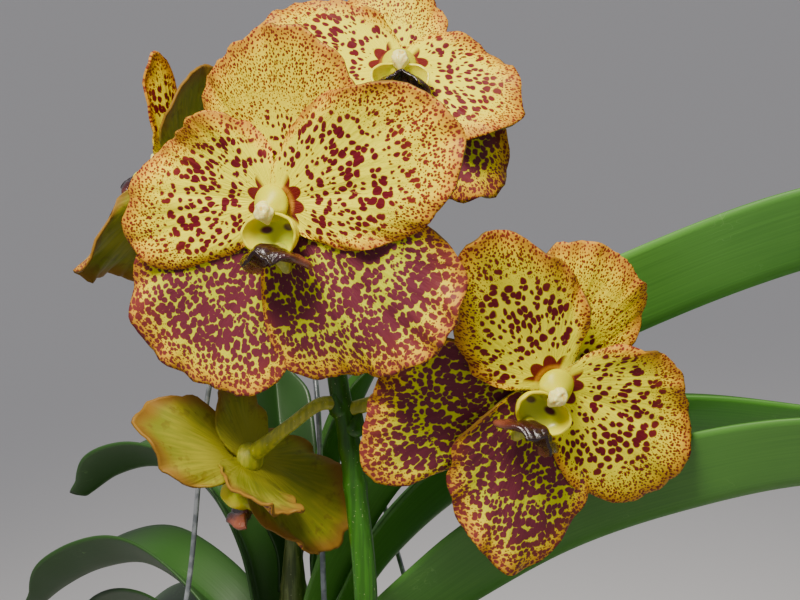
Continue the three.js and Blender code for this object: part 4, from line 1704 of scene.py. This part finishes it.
@dataclass
class BarkMix:
    """Loose bark chips over the mix that fills the pot."""

    top: float = 101.5
    radius: float = 60.0
    stem_gap: float = 11.0
    golden: float = 137.5
    count: int = 210
    seed: int = 5

    def chip(self, number: int, draw: random.Random) -> Piece:
        """One chip: a flat block with cut corners, tumbled into place.

        Args:
            number: the chip's number.
            draw: the seeded random numbers.

        Returns:
            The chip.
        """
        settle()
        bpy.ops.mesh.primitive_cube_add(size=1.0)
        piece = named(f"chip_{number}")
        size = [draw.uniform(9, 19), draw.uniform(7, 13), draw.uniform(3.5, 7)]
        for vertex in piece.data.vertices:
            vertex.co = Vector([c * s * draw.uniform(0.7, 1.05) for c, s in zip(vertex.co, size)]) * MM
        modified(piece, "BEVEL", width=draw.uniform(0.6, 1.3) * MM, segments=2)
        reach = self.radius * math.sqrt((number + 0.5) / self.count)
        height = self.top - 3.2 * (reach / self.radius) ** 4 + draw.uniform(-2.5, 1.8)
        at = polar(max(self.stem_gap, reach), number * self.golden, height)
        turn = Euler((draw.gauss(0, 0.3), draw.gauss(0, 0.3), draw.uniform(0, 6.3))).to_matrix().to_4x4()
        piece.matrix_world = Matrix.Translation(at * MM) @ turn
        return placed(piece)

    def build(self, bark: Skin) -> None:
        """Lays the chips and dresses them and the mix below.

        Args:
            bark: the material of both.
        """
        draw = random.Random(self.seed)
        chips = joined("bark_chips", [self.chip(number, draw) for number in range(self.count)])
        mount(dressed(chips, bark, angle=50), "bark")
        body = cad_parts["bark_mix"]
        body.data.materials.clear()
        body.data.materials.append(bark)


# Hanger

@dataclass
class WireHanger:
    """Four wires from the rim up to a crimped ferrule with a hook."""

    wire: float = 0.9
    hook_wire: float = 1.1
    ferrule: Triple = (-2.8, 11, 421)
    ferrule_radius: float = 3.0
    ferrule_height: float = 5.0
    hook_radius: float = 7.5
    hook_rise: float = 12.0
    bows: dict[str, Points] = field(default_factory=lambda: {
        "left": ((-60, -22, 170), (-36.6, -9.5, 251), (-26.5, -2, 332)),
        "front": ((21, -57, 165), (12.3, -33, 255), (9.5, -14.5, 325), (7.8, -7, 338)),
        "right": ((60, 22, 175), (36, 20, 262), (19.6, 18.2, 325)),
        "back": ((-12, 70, 175), (-8.5, 60, 225), (-9, 50, 275), (-12, 39, 325))})

    def build(self, steel: Skin) -> None:
        """Builds the wires, the ferrule and the hook.

        Args:
            steel: the material of all three.
        """
        x, y, z = self.ferrule
        for side, bow in self.bows.items():
            name, angle = f"hanger_wire_{side}", WIRE_ANGLES[side]
            foot = [polar(WIRE_RING + 8, angle, RIM_UNDER - 9),
                    polar(WIRE_RING + 2.4, angle, RIM_UNDER - 8.4)]
            rise = [polar(WIRE_RING, angle, h) for h in (RIM_UNDER - 4, RIM_UNDER, RIM_TOP + 4)]
            end = Vector(self.ferrule) + polar(1.7, angle, 0.5)
            route = Route([*foot, *rise, *bow, end])
            bent = tube(f"{name}_bent", route, (self.wire, self.wire), sides=12, step=2.0)
            mount(dressed(bent, steel), "wire", name)
        r, h = self.ferrule_radius, self.ferrule_height
        corners = [(0.4, 0.0), (r - 0.5, 0.0), (r, 0.5), (r, 1.3), (r - 0.45, 1.6), (r - 0.45, 2.0),
                   (r, 2.3), (r, 2.9), (r - 0.45, 3.2), (r - 0.45, 3.6), (r, 3.9), (r, h - 0.4),
                   (r - 0.5, h), (0.4, h)]
        sleeve = turned("hanger_ferrule", [(a, z + b) for a, b in corners], 32, x, y)
        mount(dressed(sleeve, steel, angle=50), "wire", "hanger_hook")
        turns = (-140, -95, -45, 0, 45, 90, 130)
        bend = [(self.hook_radius * math.sin(math.radians(a)),
                 self.hook_rise + self.hook_radius * math.cos(math.radians(a))) for a in turns]
        route = Route((x + dx, y, z + dz) for dx, dz in [(0, h - 2), (-0.6, h + 0.6), *bend])
        hook = tube("hanger_hook_bent", route, (self.hook_wire, self.hook_wire), sides=16, step=0.6)
        mount(dressed(hook, steel), "wire", "hanger_hook")


# Studio

@dataclass
class Studio:
    """The pale floor, the soft lights and the camera at the photograph's place."""

    camera_at: Triple = (0.036, -0.566, 0.458)
    tilt: float = 10.0
    lens: float = 78.75
    floor_width: float = 1200.0
    paper: Colour = hexed(0xE6E4E4)
    sky: Colour = (0.94, 0.94, 0.98, 1.0)
    sky_strength: float = 0.36

    def light(self, name: str, at: Sequence[float], aim: Sequence[float], size: float, power: float,
              colour: Sequence[float], spread: float = 180.0) -> None:
        """One soft square lamp.

        Args:
            name: the lamp's name.
            at: its place in metres.
            aim: the point that it faces.
            size: its width in metres.
            power: in watts.
            colour: its tint.
            spread: the width of its beam in degrees.
        """
        lamp = bpy.data.lights.new(name, "AREA")
        lamp.energy = power
        lamp.size = size
        lamp.color = colour
        lamp.spread = math.radians(spread)
        piece = bpy.data.objects.new(name, lamp)
        bpy.context.scene.collection.objects.link(piece)
        piece.location = at
        piece.rotation_euler = (Vector(aim) - Vector(at)).to_track_quat("-Z", "Y").to_euler()

    def build(self) -> None:
        """Sets the floor, the world, the lamps and the camera."""
        settle()
        bpy.ops.mesh.primitive_plane_add(size=self.floor_width, location=(0, 0, 0))
        floor = placed(named("floor"))
        floor.data.materials.append(Graph("floor_paper", 0.9).done(self.paper))
        world = bpy.data.worlds.new("soft_room")
        world.use_nodes = True
        colour, strength = world.node_tree.nodes["Background"].inputs[:2]
        colour.default_value = self.sky
        strength.default_value = self.sky_strength
        bpy.context.scene.world = world
        self.light("key", (-0.26, -0.68, 1.22), (0.0, -0.07, 0.42), size=0.4, power=2.1,
                   colour=(1.0, 0.95, 0.84), spread=48.0)
        self.light("fill", (1.0, -1.5, 0.9), (0.03, -0.03, 0.34), size=1.2, power=2.0,
                   colour=(0.97, 0.98, 1.0))
        data = bpy.data.cameras.new("camera")
        data.lens = self.lens
        data.sensor_width = 36.0
        data.clip_end = 100.0
        camera = bpy.data.objects.new("camera", data)
        bpy.context.scene.collection.objects.link(camera)
        camera.location = self.camera_at
        camera.rotation_euler = (math.radians(90 - self.tilt), 0, 0)
        bpy.context.scene.camera = camera


def main() -> None:
    """Builds every piece in order."""
    logging.basicConfig(level=logging.INFO, format="%(message)s")
    Studio().build()
    green = StalkFinish("spike_green", hexed(0x367010), hexed(0x28580A)).make()
    yellow = StalkFinish("stalk_yellow", hexed(0xC8C43C), hexed(0xA0A430)).make()
    lateral_face = TepalFace("lateral_face", cell=1.5, stretch=0.8, vary=0.3, maroon=hexed(0x6A2A38))
    finishes = {
        "dorsal": TepalFace("dorsal_face", stretch=0.75).make(), "petal": TepalFace("petal_face").make(),
        "lateral": lateral_face.make(), "back": TepalBack().make(), "cup": CupFinish().make(),
        "tongue": TongueFinish().make(), "column": ColumnFinish().make(), "cap": CapFinish().make(),
        "seat": yellow, "spur": yellow}
    for bloom in BLOOMS:
        bloom.build(finishes)
    FlowerSpike().build(BLOOMS, green, yellow)
    upper = LeafFinish().make()
    under = LeafFinish("leaf_under", hexed(0x5E9A3A), hexed(0x4C8430), roughness=0.5).make()
    for leaf in LEAVES:
        leaf.build(upper, under)
    stem = StalkFinish("stem_skin", hexed(0x7C8A4A), hexed(0x4F5E2C)).make()
    StemAndRoots().build(stem, RootFinish().make())
    ClayPot().build(ClayFinish().make())
    BarkMix().build(BarkFinish().make())
    WireHanger().build(WireFinish().make())


if __name__ == "__main__":
    main()
